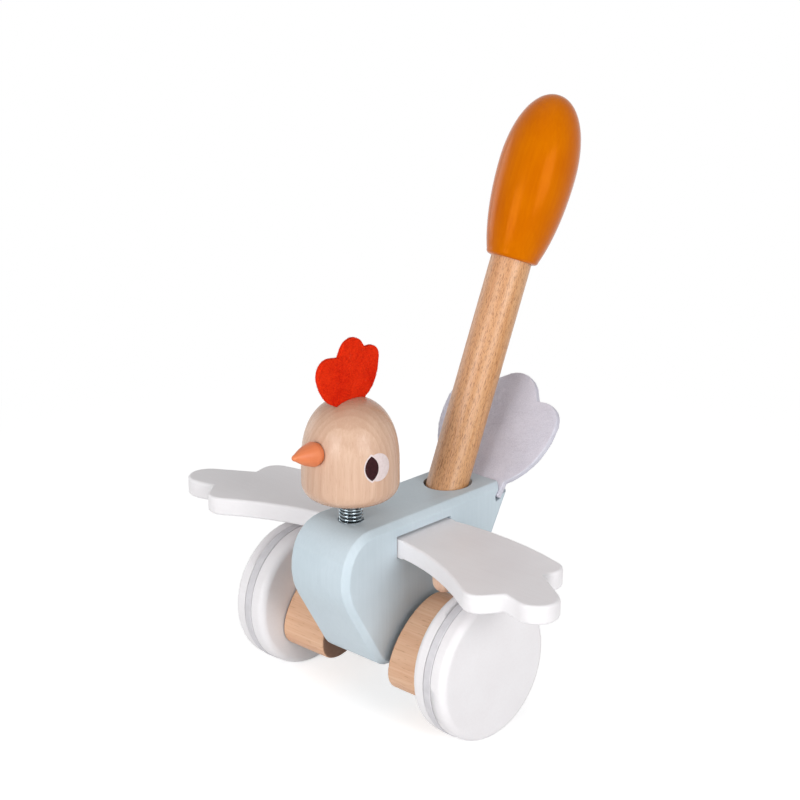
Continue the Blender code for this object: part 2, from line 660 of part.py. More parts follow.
def make_tail():
    """A flat fan of felt with three lobes, leaning back from its slot."""
    depth = TAIL_DEPTH
    mirror = (-TAIL_SIDE_LOBE[0], TAIL_SIDE_LOBE[1], TAIL_SIDE_LOBE[2])
    lobes = [TAIL_SIDE_LOBE, TAIL_TOP_LOBE, mirror]
    notches = [TAIL_NOTCH, (-TAIL_NOTCH[0], TAIL_NOTCH[1])]
    outline = lobed_outline((TAIL_ROOT, TAIL_SPREAD), TAIL_BEND, lobes, notches,
                            (-TAIL_BEND[0], TAIL_BEND[1]), (-TAIL_ROOT, TAIL_SPREAD), steps=9)
    outline += [(-TAIL_ROOT, -depth), (TAIL_ROOT, -depth)]
    half = TAIL_THICKNESS / 2
    stand = Matrix(((1, 0, 0, 0), (0, 0, 1, 0), (0, 1, 0, 0), (0, 0, 0, 1)))   # (x, y, z) to (x, z, y)
    turn = Matrix.Rotation(-TAIL_LEAN, 4, "X") @ stand
    finish("tail", prism(outline, -half, half), LILAC_FELT, TOY, (0, TAIL_Y, BODY_TOP), turn)


def make_head():
    """A turned egg-ended cylinder, with a socket for the spring, a slot for the comb and a beak hole."""
    base = HEAD_BOTTOM - NECK.location.z
    profile = [(0, base)]
    profile += [(HEAD_RADIUS - HEAD_ROUND + HEAD_ROUND * math.sin(a), base + HEAD_ROUND * (1 - math.cos(a)))
                for a in (math.pi / 2 * step / 6 for step in range(7))]
    dome_start = base + HEAD_HEIGHT - HEAD_DOME
    power = 2 / HEAD_DOME_POWER
    profile += [(HEAD_RADIUS * math.cos(a) ** power, dome_start + HEAD_DOME * math.sin(a) ** power)
                for a in (math.pi / 2 * step / 12 for step in range(1, 12))]
    profile += [(0, base + HEAD_HEIGHT)]
    head = finish("head", lathe(profile, 44), BEECH, NECK)
    spring_socket = rod("spring_socket", SPRING_RADIUS + SPRING_GAP, SPRING_SOCKET + GAP + 0.002, STEEL, NECK,
                        (0, 0, base - 0.002), sides=24)
    half = COMB_THICKNESS / 2 + GAP
    top = base + HEAD_HEIGHT
    front, rear = COMB_ROOT_FRONT - GAP, COMB_ROOT_REAR + GAP
    floor = top - COMB_SOCKET - GAP
    outline = [(front, floor), (rear, floor), (rear, top + 0.01), (front, top + 0.01)]
    comb_slot = finish("comb_slot", prism(outline, -half, half), STEEL, NECK, turn=SIDE_VIEW)
    for cutter in (spring_socket, comb_slot, beak_hole(base)):
        cut(head, cutter)


def beak_turn():
    """Turns +Z to the beak's own direction, forwards and a little up."""
    return Matrix.Rotation(math.pi / 2 - BEAK_LIFT, 4, "X")


def beak_place(base):
    return Vector((0, -HEAD_RADIUS, base + BEAK_HEIGHT))


def beak_hole(base):
    """A hole for the tenon and a shallow flat seat for the beak's base."""
    profile = [(0, -BEAK_TENON_LENGTH - GAP), (BEAK_TENON + GAP, -BEAK_TENON_LENGTH - GAP),
               (BEAK_TENON + GAP, -BEAK_SEAT - GAP), (BEAK_BASE + GAP, -BEAK_SEAT - GAP),
               (BEAK_BASE + GAP, -0.0002), (BEAK_RADIUS + GAP, 0.0006), (BEAK_RADIUS + GAP, 0.01), (0, 0.01)]
    return finish("beak_hole", lathe(profile, 28), STEEL, NECK, beak_place(base), beak_turn())


def make_beak():
    """A round-nosed cone with a flat base and a tenon."""
    base = HEAD_BOTTOM - NECK.location.z
    profile = [(0, -BEAK_TENON_LENGTH), (BEAK_TENON, -BEAK_TENON_LENGTH), (BEAK_TENON, -BEAK_SEAT)]
    profile += [(BEAK_BASE, -BEAK_SEAT), (BEAK_BASE, 0),
                (BEAK_BASE + 0.75 * (BEAK_RADIUS - BEAK_BASE), 0.0005), (BEAK_RADIUS, BEAK_SHOULDER)]
    slope = math.atan2(BEAK_RADIUS - BEAK_TIP, BEAK_LENGTH - BEAK_TIP)
    for step in range(1, 5):
        share = step / 5
        bulge = 0.0006 * math.sin(math.pi * share)
        profile.append((BEAK_RADIUS + (BEAK_TIP - BEAK_RADIUS) * share + bulge,
                        BEAK_SHOULDER + (BEAK_LENGTH - BEAK_TIP - BEAK_SHOULDER) * share))
    profile += [(BEAK_TIP * math.cos(a), BEAK_LENGTH - BEAK_TIP + BEAK_TIP * math.sin(a))
                for a in (slope + (math.pi / 2 - slope) * step / 4 for step in range(4))]
    profile += [(0, BEAK_LENGTH)]
    finish("beak", lathe(profile, 28), CORAL_LACQUER, NECK, beak_place(base), beak_turn())


def make_comb():
    base = HEAD_BOTTOM - NECK.location.z + HEAD_HEIGHT
    front, rear = COMB_ROOT_FRONT, COMB_ROOT_REAR
    lobes = [(y, base + z, r) for y, z, r in COMB_LOBES]
    notches = [(y, base + z) for y, z in COMB_NOTCHES]
    floor = base - COMB_SOCKET
    rise = 0.0030           # height of the bends under the end lobes, above the head's top
    outline = lobed_outline((rear, base - COMB_MOUTH_REAR), (rear + COMB_SPREAD, base + rise),
                            lobes[::-1], notches[::-1],
                            (front - COMB_SPREAD, base + rise), (front, base - COMB_MOUTH_FRONT), steps=7)
    outline += [(front, floor), (rear, floor)]
    half = COMB_THICKNESS / 2
    finish("comb", prism(outline, -half, half), RED_FELT, NECK, turn=SIDE_VIEW)


def spring_points():
    """Centre line of the neck spring: straight ends, then one helix at a steady pitch."""
    low = BODY_TOP - SPRING_SOCKET + GAP - NECK.location.z
    high = HEAD_BOTTOM + SPRING_SOCKET - GAP - NECK.location.z
    radius = SPRING_RADIUS - SPRING_WIRE
    tail = 2 * SPRING_WIRE
    rise = high - low - 2 * tail
    per_turn = 9
    turns = round(rise / SPRING_PITCH)
    steps = turns * per_turn
    coil = []
    for step in range(steps + 1):
        a = 2 * math.pi * step / per_turn
        coil.append(Vector((radius * math.cos(a), radius * math.sin(a), low + tail + rise * step / steps)))
    first, last = coil[0], coil[-1]
    return [Vector((first.x, first.y, low)), *coil, Vector((last.x, last.y, high))]


def spring_self_gap(points):
    """Least space between the wires of neighbouring curls, measured between centre-line points."""
    least = 1.0
    for index, here in enumerate(points):
        for other in points[index + 6:]:
            least = min(least, (other - here).length)
    return least - 2 * SPRING_WIRE


def make_spring():
    points = spring_points()
    print("least gap between the neck spring's curls, mm:", round(spring_self_gap(points) * 1000, 3))
    curve = bpy.data.curves.new("neck_spring", "CURVE")
    curve.dimensions = "3D"
    curve.bevel_depth = SPRING_WIRE
    curve.bevel_resolution = 1
    curve.use_fill_caps = True
    line = curve.splines.new("POLY")
    line.points.add(len(points) - 1)
    for place, point in zip(line.points, points):
        place.co = (*point, 1)
    spring = bpy.data.objects.new("neck_spring", curve)
    spring.data.materials.append(STEEL)
    spring.parent = NECK
    bpy.context.collection.objects.link(spring)


def make_rear_wheel():
    profile = wheel_profile(REAR_RADIUS, REAR_WIDTH, REAR_EDGE, 3)
    wheel = finish("rear_wheel", lathe(profile, REAR_SIDES, math.pi / REAR_SIDES), BEECH, REAR_AXIS,
                   turn=ALONG_X)
    cut(wheel, rod("rear_wheel_bore", REAR_PIN_RADIUS + RUNNING_GAP, REAR_WIDTH + 0.004, STEEL, REAR_AXIS,
                   (-REAR_WIDTH / 2 - 0.002, 0, 0), ALONG_X, sides=16))
    half = HALF_BODY - 0.0010
    rod("rear_wheel_pin", REAR_PIN_RADIUS, 2 * half, STEEL, TOY, (-half, REAR_Y, REAR_HEIGHT), ALONG_X,
        sides=16, ease=0.0003)


BODY = make_body()
cut_body(BODY)
make_wheels()
make_axle()
make_cams()
make_rear_wheel()
make_wings()
make_stick()
make_tail()
make_head()
make_beak()
make_comb()
make_spring()
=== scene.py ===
# Push-along wooden chicken: surfaces, felt, neck spring, printed eyes and a pale studio.
# Lengths are in metres. The bird faces -Y, its own left side is +X, and the floor is Z = 0.
import json
import math

import bmesh
import bpy
from mathutils import Matrix, Vector, noise


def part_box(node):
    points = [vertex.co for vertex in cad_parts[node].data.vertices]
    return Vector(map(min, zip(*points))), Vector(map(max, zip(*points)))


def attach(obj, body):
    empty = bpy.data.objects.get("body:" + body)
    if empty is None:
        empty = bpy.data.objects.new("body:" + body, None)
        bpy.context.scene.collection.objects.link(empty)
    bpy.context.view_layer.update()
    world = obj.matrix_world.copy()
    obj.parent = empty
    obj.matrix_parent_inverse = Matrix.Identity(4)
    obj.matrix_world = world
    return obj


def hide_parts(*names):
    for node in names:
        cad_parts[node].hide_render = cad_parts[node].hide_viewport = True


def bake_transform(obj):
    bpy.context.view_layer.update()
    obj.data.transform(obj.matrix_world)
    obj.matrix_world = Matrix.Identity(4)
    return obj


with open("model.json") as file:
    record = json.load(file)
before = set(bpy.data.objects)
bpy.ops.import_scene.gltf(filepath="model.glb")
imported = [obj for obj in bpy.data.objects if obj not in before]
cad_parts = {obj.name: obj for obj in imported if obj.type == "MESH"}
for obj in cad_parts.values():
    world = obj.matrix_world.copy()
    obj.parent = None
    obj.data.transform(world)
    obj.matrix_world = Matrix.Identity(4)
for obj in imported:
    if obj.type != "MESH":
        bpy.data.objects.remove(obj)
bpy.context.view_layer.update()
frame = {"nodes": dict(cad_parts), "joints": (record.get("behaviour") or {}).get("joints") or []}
nodes = frame["nodes"]

# Places that several pieces share. Leans are in degrees from upright, and the feet are behind the axle.
layout = {"stickLean": 23.3, "stickBack": 0.0470, "tailLean": 36.6, "tailBack": 0.0690, "gap": 0.0003}

axleLow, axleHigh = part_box("axle")
headLow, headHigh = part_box("head")
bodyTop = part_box("body_block")[1].z
axleY = ((axleLow + axleHigh) / 2).y
headY = (headLow.y + headHigh.y) / 2
neckPivot = Vector(next(j["pos_m"] for j in frame["joints"] if j["name"] == "head_nod"))
stickLean = math.radians(layout["stickLean"])
stickUp = Vector((0, math.sin(stickLean), math.cos(stickLean)))
stickFoot = Vector((0, layout["stickBack"] + axleY, bodyTop))    # where the axis leaves the body's top
tailLean = math.radians(layout["tailLean"])
tailFoot = Vector((0, layout["tailBack"] + axleY, bodyTop))
print("frame loaded:", len(nodes), "nodes")


# Node helpers

def addNode(tree, kind, settings=None, **inputs):
    # An input is named by its label, or by i and its number where labels repeat
    made = tree.nodes.new(kind)
    for key, value in (settings or {}).items():
        setattr(made, key, value)
    for key, value in inputs.items():
        socket = made.inputs[int(key[1:]) if key[0] == "i" and key[1:].isdigit() else key]
        if isinstance(value, bpy.types.NodeSocket):
            tree.links.new(value, socket)
        else:
            socket.default_value = value
    return made


def maths(tree, operation, first, second=0.0):
    return addNode(tree, "ShaderNodeMath", {"operation": operation}, i0=first, i1=second).outputs[0]


def mixColor(tree, factor, first, second):
    return addNode(tree, "ShaderNodeMix", {"data_type": "RGBA"}, i0=factor, i6=first, i7=second).outputs[2]


def remap(tree, value, fromLow, fromHigh, toLow=0.0, toHigh=1.0, smooth=False):
    settings = {"clamp": True, "interpolation_type": "SMOOTHSTEP" if smooth else "LINEAR"}
    made = addNode(tree, "ShaderNodeMapRange", settings, i0=value, i1=fromLow, i2=fromHigh, i3=toLow,
                   i4=toHigh)
    return made.outputs[0]


def stretched(tree, point, scale):
    return addNode(tree, "ShaderNodeVectorMath", {"operation": "MULTIPLY"}, i0=point, i1=scale).outputs[0]


def noiseAt(tree, point, scale, detail, **others):
    return addNode(tree, "ShaderNodeTexNoise", Vector=point, Scale=scale, Detail=detail, **others).outputs[0]


def objectPoint(tree, turn=(0, 0, 0), shift=(0, 0, 0)):
    place = addNode(tree, "ShaderNodeTexCoord").outputs["Object"]
    made = addNode(tree, "ShaderNodeMapping", {"vector_type": "POINT"}, i0=place, i1=shift, i2=turn)
    return made.outputs[0]


def newTree(name, treeKind, inputs, outputs):
    # A node tree whose sockets are given as label and kind
    tree = bpy.data.node_groups.new(name, treeKind)
    for way, sockets in (("INPUT", inputs), ("OUTPUT", outputs)):
        for label, kind in sockets.items():
            tree.interface.new_socket(label, in_out=way, socket_type="NodeSocket" + kind)
    return tree, tree.nodes.new("NodeGroupInput").outputs, tree.nodes.new("NodeGroupOutput").inputs


def useGroup(tree, group, inputs):
    made = tree.nodes.new("ShaderNodeGroup")
    made.node_tree = group
    for key, value in inputs.items():
        if isinstance(value, bpy.types.NodeSocket):
            tree.links.new(value, made.inputs[key])
        else:
            made.inputs[key].default_value = value
    return made.outputs


# Shared surface effects

beechSizes = {"wanderStretch": (1, 1, 0.25), "wanderScale": 26.0, "ringPeak": 0.78,
              "streakStretch": (900, 900, 26), "streakRough": 0.62, "broadStretch": (160, 160, 9),
              "streakShare": 0.6, "broadShare": 0.4, "fleckEdge": 0.09, "fleckRough": 0.6,
              "streakHeight": 0.7, "fleckHeight": 0.5, "heartRagged": 0.012, "heartEdge": 0.006}
paintSizes = {"cloudScale": 34.0, "nibScale": 1500.0, "grainStretch": (700, 700, 30), "nibHeight": 0.35,
              "cloudShare": 0.7, "grainShare": 0.3}
feltSizes = {"tangleBend": 2.4, "fineRate": 3.3, "fineBend": 1.2, "cloudScale": 90.0, "ridgeWidth": 0.11,
             "fibreHeight": 0.6, "fineHeight": 0.5, "heightShare": 0.55, "cloudShare": 0.45}


def weighted(tree, first, firstShare, second, secondShare, operation="ADD"):
    return maths(tree, operation, maths(tree, "MULTIPLY", first, firstShare),
                 maths(tree, "MULTIPLY", second, secondShare))


def makeBeechGroup():
    # Grain runs along Z of the given point. Rings circle a pith line beside the piece.
    tree, given, result = newTree("beechGrain", "ShaderNodeTree", {
        "Point": "Vector", "Ring spacing": "Float", "Fleck length": "Float", "Fleck width": "Float",
        "Fleck start": "Float", "Wander": "Float", "Heart edge": "Float"},
        dict.fromkeys(("Rings", "Streaks", "Flecks", "Heart", "Height"), "Float"))
    point, sizes = given["Point"], beechSizes
    wander = noiseAt(tree, stretched(tree, point, sizes["wanderStretch"]), sizes["wanderScale"], 2.0)
    split = addNode(tree, "ShaderNodeSeparateXYZ", i0=point)
    squares = [maths(tree, "POWER", split.outputs[axis], 2.0) for axis in (0, 1)]
    distance = maths(tree, "SQRT", maths(tree, "ADD", *squares))
    phase = maths(tree, "ADD", maths(tree, "DIVIDE", distance, given["Ring spacing"]),
                  maths(tree, "MULTIPLY", wander, given["Wander"]))
    saw = maths(tree, "FRACT", phase)
    rings = maths(tree, "MULTIPLY", remap(tree, saw, 0.0, sizes["ringPeak"]),
                  remap(tree, saw, sizes["ringPeak"], 1.0, 1.0, 0.0))
    narrow, wide = (stretched(tree, point, sizes[k]) for k in ("streakStretch", "broadStretch"))
    fine = noiseAt(tree, narrow, 1.0, 3.0, Roughness=sizes["streakRough"])
    broad = noiseAt(tree, wide, 1.0, 2.0)
    streaks = weighted(tree, fine, sizes["streakShare"], broad, sizes["broadShare"])
    across = maths(tree, "DIVIDE", 1.0, given["Fleck width"])
    along = maths(tree, "DIVIDE", 1.0, given["Fleck length"])
    scale = addNode(tree, "ShaderNodeCombineXYZ", i0=across, i1=across, i2=along).outputs[0]
    speckle = noiseAt(tree, stretched(tree, point, scale), 1.0, 2.0, Roughness=sizes["fleckRough"])
    fleckEnd = maths(tree, "ADD", given["Fleck start"], sizes["fleckEdge"])
    flecks = remap(tree, speckle, given["Fleck start"], fleckEnd, smooth=True)
    height = weighted(tree, streaks, sizes["streakHeight"], flecks, sizes["fleckHeight"], "SUBTRACT")
    inside = maths(tree, "SUBTRACT", given["Heart edge"], distance)
    wave = maths(tree, "MULTIPLY", maths(tree, "SUBTRACT", streaks, 0.5), sizes["heartRagged"])
    ragged = maths(tree, "ADD", inside, wave)
    heart = remap(tree, ragged, -sizes["heartEdge"], sizes["heartEdge"], smooth=True)
    for label, value in (("Rings", rings), ("Streaks", streaks), ("Flecks", flecks), ("Heart", heart),
                         ("Height", height)):
        tree.links.new(value, result[label])
    return tree


def makePaintGroup():
    # Paint brushed over sanded wood: faint mottling, dust nibs and the grain showing through softly
    tree, given, result = newTree("paintFilm", "ShaderNodeTree", {"Point": "Vector", "Grain": "Float"},
                                  {"Tone": "Float", "Height": "Float"})
    point, sizes = given["Point"], paintSizes
    cloud = noiseAt(tree, point, sizes["cloudScale"], 3.0)
    nibs = noiseAt(tree, point, sizes["nibScale"], 2.0)
    grain = noiseAt(tree, stretched(tree, point, sizes["grainStretch"]), 1.0, 3.0)
    tree.links.new(weighted(tree, cloud, sizes["cloudShare"], grain, sizes["grainShare"]), result["Tone"])
    tree.links.new(weighted(tree, nibs, sizes["nibHeight"], grain, given["Grain"]), result["Height"])
    return tree


def makeFeltGroup():
    # Pressed wool: tangled fibres at two sizes and a soft cloudy tone
    tree, given, result = newTree("pressedFelt", "ShaderNodeTree", {"Point": "Vector", "Fibre size": "Float"},
                                  {"Tone": "Float", "Height": "Float"})
    point, sizes = given["Point"], feltSizes
    rate = maths(tree, "DIVIDE", 1.0, given["Fibre size"])
    fineRate = maths(tree, "MULTIPLY", rate, sizes["fineRate"])
    tangle = noiseAt(tree, point, rate, 3.0, Distortion=sizes["tangleBend"])
    fine = noiseAt(tree, point, fineRate, 2.0, Distortion=sizes["fineBend"])
    cloud = noiseAt(tree, point, sizes["cloudScale"], 2.0)
    ridges = maths(tree, "ABSOLUTE", maths(tree, "SUBTRACT", tangle, 0.5))
    fibres = remap(tree, ridges, 0.0, sizes["ridgeWidth"], 1.0, 0.0)
    height = weighted(tree, fibres, sizes["fibreHeight"], fine, sizes["fineHeight"])
    tree.links.new(weighted(tree, height, sizes["heightShare"], cloud, sizes["cloudShare"]), result["Tone"])
    tree.links.new(height, result["Height"])
    return tree


beechGrain = makeBeechGroup()
paintFilm = makePaintGroup()
pressedFelt = makeFeltGroup()


# Materials

# How far the roughness moves with the tone, and how deep the bump reaches
finishDepth = {"beech": (0.08, -0.06, 0.0002), "paint": (-0.05, 0.05, 0.0001), "felt": (0.0, 0.0, 0.0003),
               "plain": (-0.06, 0.06, 0.0001)}
# The part of each mask's range that is spread over the whole change
spans = {"streaks": (0.36, 0.64), "tone": (0.35, 0.65), "rough": (0.3, 0.7), "ends": (0.35, 0.95)}


def rgb(text):
    # A screen colour such as "c5d3da" as a linear colour
    parts = [int(text[i:i + 2], 16) / 255 for i in (0, 2, 4)]
    return tuple(p / 12.92 if p <= 0.04045 else ((p + 0.055) / 1.055) ** 2.4 for p in parts) + (1.0,)


def newMaterial(name):
    made = bpy.data.materials.new(name)
    made.use_nodes = True
    tree = made.node_tree
    return made, tree, tree.nodes["Principled BSDF"]


def finishShader(tree, shader, kind, look, color, height, tone=None):
    # What the finishes share: colour, roughness that follows the tone, bump and gloss
    roughLow, roughHigh, reach = finishDepth[kind]
    tree.links.new(color, shader.inputs["Base Color"])
    shader.inputs["Roughness"].default_value = look["rough"]
    if tone is not None:
        rough = remap(tree, tone, *spans["rough"], look["rough"] + roughLow, look["rough"] + roughHigh)
        tree.links.new(rough, shader.inputs["Roughness"])
    bump = addNode(tree, "ShaderNodeBump", i0=look["bump"], i1=reach, Height=height)
    tree.links.new(bump.outputs[0], shader.inputs["Normal"])
    shader.inputs["Specular IOR Level"].default_value = look["specular"]


def beechMaterial(name, look):
    made, tree, shader = newMaterial(name)
    turn = look.get("turn", (0, 0, 0))
    heartEdge, heartColor, heartDepth = look.get("heart", (0.0, look["dark"], 0.0))
    endColor, endDepth = look.get("end", (look["ring"], 0.3))
    length, width, start = look["fleck"]
    grain = useGroup(tree, beechGrain, {
        "Point": objectPoint(tree, turn, look["pith"]), "Ring spacing": look["rings"], "Fleck length": length,
        "Fleck width": width, "Fleck start": start, "Wander": look["wander"], "Heart edge": heartEdge})
    streaks = remap(tree, grain["Streaks"], *spans["streaks"])
    color = mixColor(tree, streaks, rgb(look["dark"]), rgb(look["light"]))
    for mask, depth, over in (("Heart", heartDepth, heartColor), ("Rings", look["ringDepth"], look["ring"]),
                              ("Flecks", look["fleckDepth"], look["fleckColor"])):
        color = mixColor(tree, maths(tree, "MULTIPLY", grain[mask], depth), color, rgb(over))
    # Where the surface cuts across the grain, its open ends look darker. On the cams this end colour is
    # darker still: painted shade for their flat faces, which sit in shadow beside the body.
    facing = addNode(tree, "ShaderNodeTexCoord").outputs["Normal"]
    turned = addNode(tree, "ShaderNodeMapping", {"vector_type": "VECTOR"}, i0=facing, i2=turn).outputs[0]
    across = maths(tree, "ABSOLUTE", addNode(tree, "ShaderNodeSeparateXYZ", i0=turned).outputs[2])
    ends = remap(tree, across, *spans["ends"], 0.0, endDepth, smooth=True)
    color = mixColor(tree, ends, color, rgb(endColor))
    finishShader(tree, shader, "beech", look, color, grain["Height"], grain["Streaks"])
    return made


def paintMaterial(name, look):
    made, tree, shader = newMaterial(name)
    point = objectPoint(tree, look.get("turn", (0, 0, 0)))
    film = useGroup(tree, paintFilm, {"Point": point, "Grain": look["grain"]})
    color = mixColor(tree, remap(tree, film["Tone"], *spans["tone"]), rgb(look["dark"]), rgb(look["light"]))
    finishShader(tree, shader, "paint", look, color, film["Height"], film["Tone"])
    shader.inputs["Specular Tint"].default_value = rgb(look.get("tint", "ffffff"))
    return made


def feltMaterial(name, look):
    made, tree, shader = newMaterial(name)
    felt = useGroup(tree, pressedFelt, {"Point": objectPoint(tree), "Fibre size": look["fibre"]})
    color = mixColor(tree, remap(tree, felt["Tone"], *look["spread"]), rgb(look["dark"]), rgb(look["light"]))
    finishShader(tree, shader, "felt", look, color, felt["Height"])
    shader.inputs["Sheen Weight"].default_value = look["sheen"]
    shader.inputs["Sheen Roughness"].default_value = 0.5
    shader.inputs["Sheen Tint"].default_value = rgb(look["light"])
    return made


def plainMaterial(name, look):
    made, tree, shader = newMaterial(name)
    cloud = noiseAt(tree, objectPoint(tree), look["size"], 3.0)
    color = mixColor(tree, remap(tree, cloud, *spans["tone"]), rgb(look["dark"]), rgb(look["light"]))
    finishShader(tree, shader, "plain", look, color, cloud, cloud)
    shader.inputs["Metallic"].default_value = look["metal"]
    return made


stickTurn = (stickLean, 0, 0)       # brings the stick's own direction onto Z
sideTurn = (0, math.pi / 2, 0)      # brings X onto Z
frontTurn = (math.pi / 2, 0, 0)     # brings Y onto Z
beechLooks = {
    "stickBeech": {
        "turn": stickTurn, "pith": (0.035, 0.03, 0), "rings": 0.0036, "wander": 5.0, "dark": "c48b53",
        "light": "eac18f", "ring": "c5905e", "ringDepth": 0.3, "fleck": (0.0026, 0.00036, 0.53),
        "fleckColor": "7e4717", "fleckDepth": 0.62, "heart": (0.047, "c68a66", 0.6), "rough": 0.32,
        "bump": 0.15, "specular": 0.5},
    "headBeech": {
        "pith": (0.06, 0.003, 0), "rings": 0.0030, "wander": 8.0, "dark": "c8a48c", "light": "d6b69f",
        "ring": "ad8268", "ringDepth": 0.26, "fleck": (0.0070, 0.0006, 0.58), "fleckColor": "b08470",
        "fleckDepth": 0.25, "end": ("a67c63", 0.55), "rough": 0.25, "bump": 0.05, "specular": 0.24},
    # The cams' end colour is partly real end grain and partly painted shade, darkened to the shaded tone of
    # their flat faces beside the body
    "camBeech": {
        "turn": sideTurn, "pith": (0.02, 0.03, 0), "rings": 0.0034, "wander": 5.0, "dark": "d5a585",
        "light": "e3bc9d", "ring": "cc9c79", "ringDepth": 0.25, "fleck": (0.0070, 0.0008, 0.60),
        "fleckColor": "a87856", "fleckDepth": 0.4, "end": ("6a4a3a", 0.85), "rough": 0.5, "bump": 0.15,
        "specular": 0.3},
    "pegBeech": {
        "pith": (0.03, 0.02, 0), "rings": 0.0026, "wander": 5.0, "dark": "dcb49c", "light": "efd2bb",
        "ring": "d4ab90", "ringDepth": 0.3, "fleck": (0.0022, 0.0005, 0.58), "fleckColor": "b98c70",
        "fleckDepth": 0.4, "rough": 0.5, "bump": 0.15, "specular": 0.3},
}
paintLooks = {
    "bluePaint": {"grain": 0.5, "dark": "bccad2", "light": "c6d3db", "rough": 0.4, "bump": 0.05,
                  "specular": 0.3},
    "whitePaint": {"turn": sideTurn, "grain": 0.4, "dark": "e6e3e5", "light": "ebe9eb", "rough": 0.4,
                   "bump": 0.05, "specular": 0.3},
    "orangeLacquer": {"turn": stickTurn, "grain": 1.2, "dark": "bf5f00", "light": "ca6c00", "rough": 0.19,
                      "bump": 0.05, "specular": 0.22, "tint": "ff9a40"},
    "coralLacquer": {"turn": frontTurn, "grain": 0.8, "dark": "d26f42", "light": "dc8152", "rough": 0.42,
                     "bump": 0.06, "specular": 0.35},
}
feltLooks = {
    "redFelt": {"fibre": 0.0013, "spread": (0.3, 0.62), "dark": "c91200", "light": "ee350d", "sheen": 0.05,
                "rough": 0.95, "bump": 0.6, "specular": 0.1},
    "lilacFelt": {"fibre": 0.0011, "spread": (0.3, 0.62), "dark": "cccad6", "light": "dedce7", "sheen": 0.15,
                  "rough": 0.95, "bump": 0.5, "specular": 0.1},
}
plainLooks = {
    "greySilicone": {"size": 240.0, "dark": "c9c7cb", "light": "d2d0d4", "metal": 0.0, "rough": 0.5,
                     "bump": 0.05, "specular": 0.5},
    "springSteel": {"size": 900.0, "dark": "7c878d", "light": "a4aeb4", "metal": 1.0, "rough": 0.16,
                    "bump": 0.03, "specular": 0.5},
    "eyeWhite": {"size": 600.0, "dark": "d2c2c0", "light": "dacccb", "metal": 0.0, "rough": 0.5,
                 "bump": 0.03, "specular": 0.5},
    "eyeDark": {"size": 700.0, "dark": "2c1215", "light": "37191d", "metal": 0.0, "rough": 0.6,
                "bump": 0.03, "specular": 0.1},
}
looks = {}
for makeLook, table in ((beechMaterial, beechLooks), (paintMaterial, paintLooks), (feltMaterial, feltLooks),
                        (plainMaterial, plainLooks)):
    for name, look in table.items():
        looks[name] = makeLook(name, look)
print("materials made:", len(looks))


# Mesh helpers

def meshOf(name, shape):
    mesh = bpy.data.meshes.new(name)
    shape.to_mesh(mesh)
    shape.free()
    return mesh


def looseObject(name, shape):
    made = bpy.data.objects.new(name, meshOf(name, shape))
    bpy.context.scene.collection.objects.link(made)
    return made


def evaluatedMesh(thing, name):
    # The mesh of an object with its modifiers, and the object removed
    found = thing.evaluated_get(bpy.context.evaluated_depsgraph_get())
    mesh = bpy.data.meshes.new_from_object(found)
    mesh.name = name
    old = thing.data
    bpy.data.objects.remove(thing, do_unlink=True)
    bpy.data.meshes.remove(old)
    return mesh


def shadeMesh(mesh, sharpAngle):
    mesh.shade_smooth()
    if sharpAngle:
        mesh.set_sharp_from_angle(angle=math.radians(sharpAngle))


def finishPiece(name, mesh, look, body, replaced=(), sharpAngle=35):
    # A sharp angle of 0 leaves no sharp edges, and None leaves the shading as it is
    if sharpAngle is not None:
        shadeMesh(mesh, sharpAngle)
    piece = bpy.data.objects.new(name, mesh)
    bpy.context.scene.collection.objects.link(piece)
    mesh.materials.clear()
    mesh.materials.append(looks[look])
    if body:
        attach(piece, body)
    if replaced:
        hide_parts(*replaced)
    return piece


def shapePiece(name, shape, look, body, replaced=(), sharpAngle=35):
    finishPiece(name, meshOf(name, shape), look, body, replaced, sharpAngle)


def lathe(profile, sides, place):
    # Turns (radius, height) points about Z, closed at both poles
    made = bmesh.new()
    rings = []
    for radius, height in profile:
        count = sides if radius > 1e-7 else 1
        turns = [2 * math.pi * step / sides for step in range(count)]
        rings.append([made.verts.new((radius * math.cos(a), radius * math.sin(a), height)) for a in turns])
    for low, high in zip(rings, rings[1:]):
        for step in range(sides):
            after = (step + 1) % sides
            corners = [low[step % len(low)], low[after % len(low)]]
            corners += [high[after % len(high)], high[step % len(high)]]
            corners = list(dict.fromkeys(corners))
            if len(corners) > 2:
                made.faces.new(corners)
    bmesh.ops.recalc_face_normals(made, faces=made.faces)
    made.transform(place)
    return made


def quarterTurn(steps):
    return [math.pi / 2 / steps * step for step in range(steps + 1)]


def roundedFoot(radius, size, steps):
    # The rounded lower edge of a turned piece, as points of its profile
    return [(radius - size + size * math.sin(a), size * (1 - math.cos(a))) for a in quarterTurn(steps)]


# Body, wheels, cams, pins, wings and pegs: the CAD shapes, dressed

dress = {"merge": 2e-6, "flatAngle": 0.6, "sharpAngle": 35, "flatWeight": 50}
dressList = {
    "body_block": ("bluePaint", "toy_body", "blue_paint"),
    "left_wheel": ("whitePaint", "wheelset", "white_paint"),
    "right_wheel": ("whitePaint", "wheelset", "white_paint"),
    "left_tyre": ("greySilicone", "wheelset", "grey_silicone"),
    "right_tyre": ("greySilicone", "wheelset", "grey_silicone"),
    "left_cam": ("camBeech", "wheelset", "beech"),
    "right_cam": ("camBeech", "wheelset", "beech"),
    "left_spacer": ("springSteel", "wheelset", "steel"),
    "right_spacer": ("springSteel", "wheelset", "steel"),
    "axle": ("springSteel", "wheelset", "steel"),
    "left_wing": ("whitePaint", "left_wing_body", "white_paint"),
    "right_wing": ("whitePaint", "right_wing_body", "white_paint"),
    "left_wing_peg": ("pegBeech", "left_wing_body", "beech"),
    "right_wing_peg": ("pegBeech", "right_wing_body", "beech"),
    "left_hinge_pin": ("springSteel", "toy_body", "steel"),
    "right_hinge_pin": ("springSteel", "toy_body", "steel"),
    "rear_wheel": ("pegBeech", "rear_wheel_body", "beech"),
    "rear_wheel_pin": ("springSteel", "toy_body", "steel"),
}


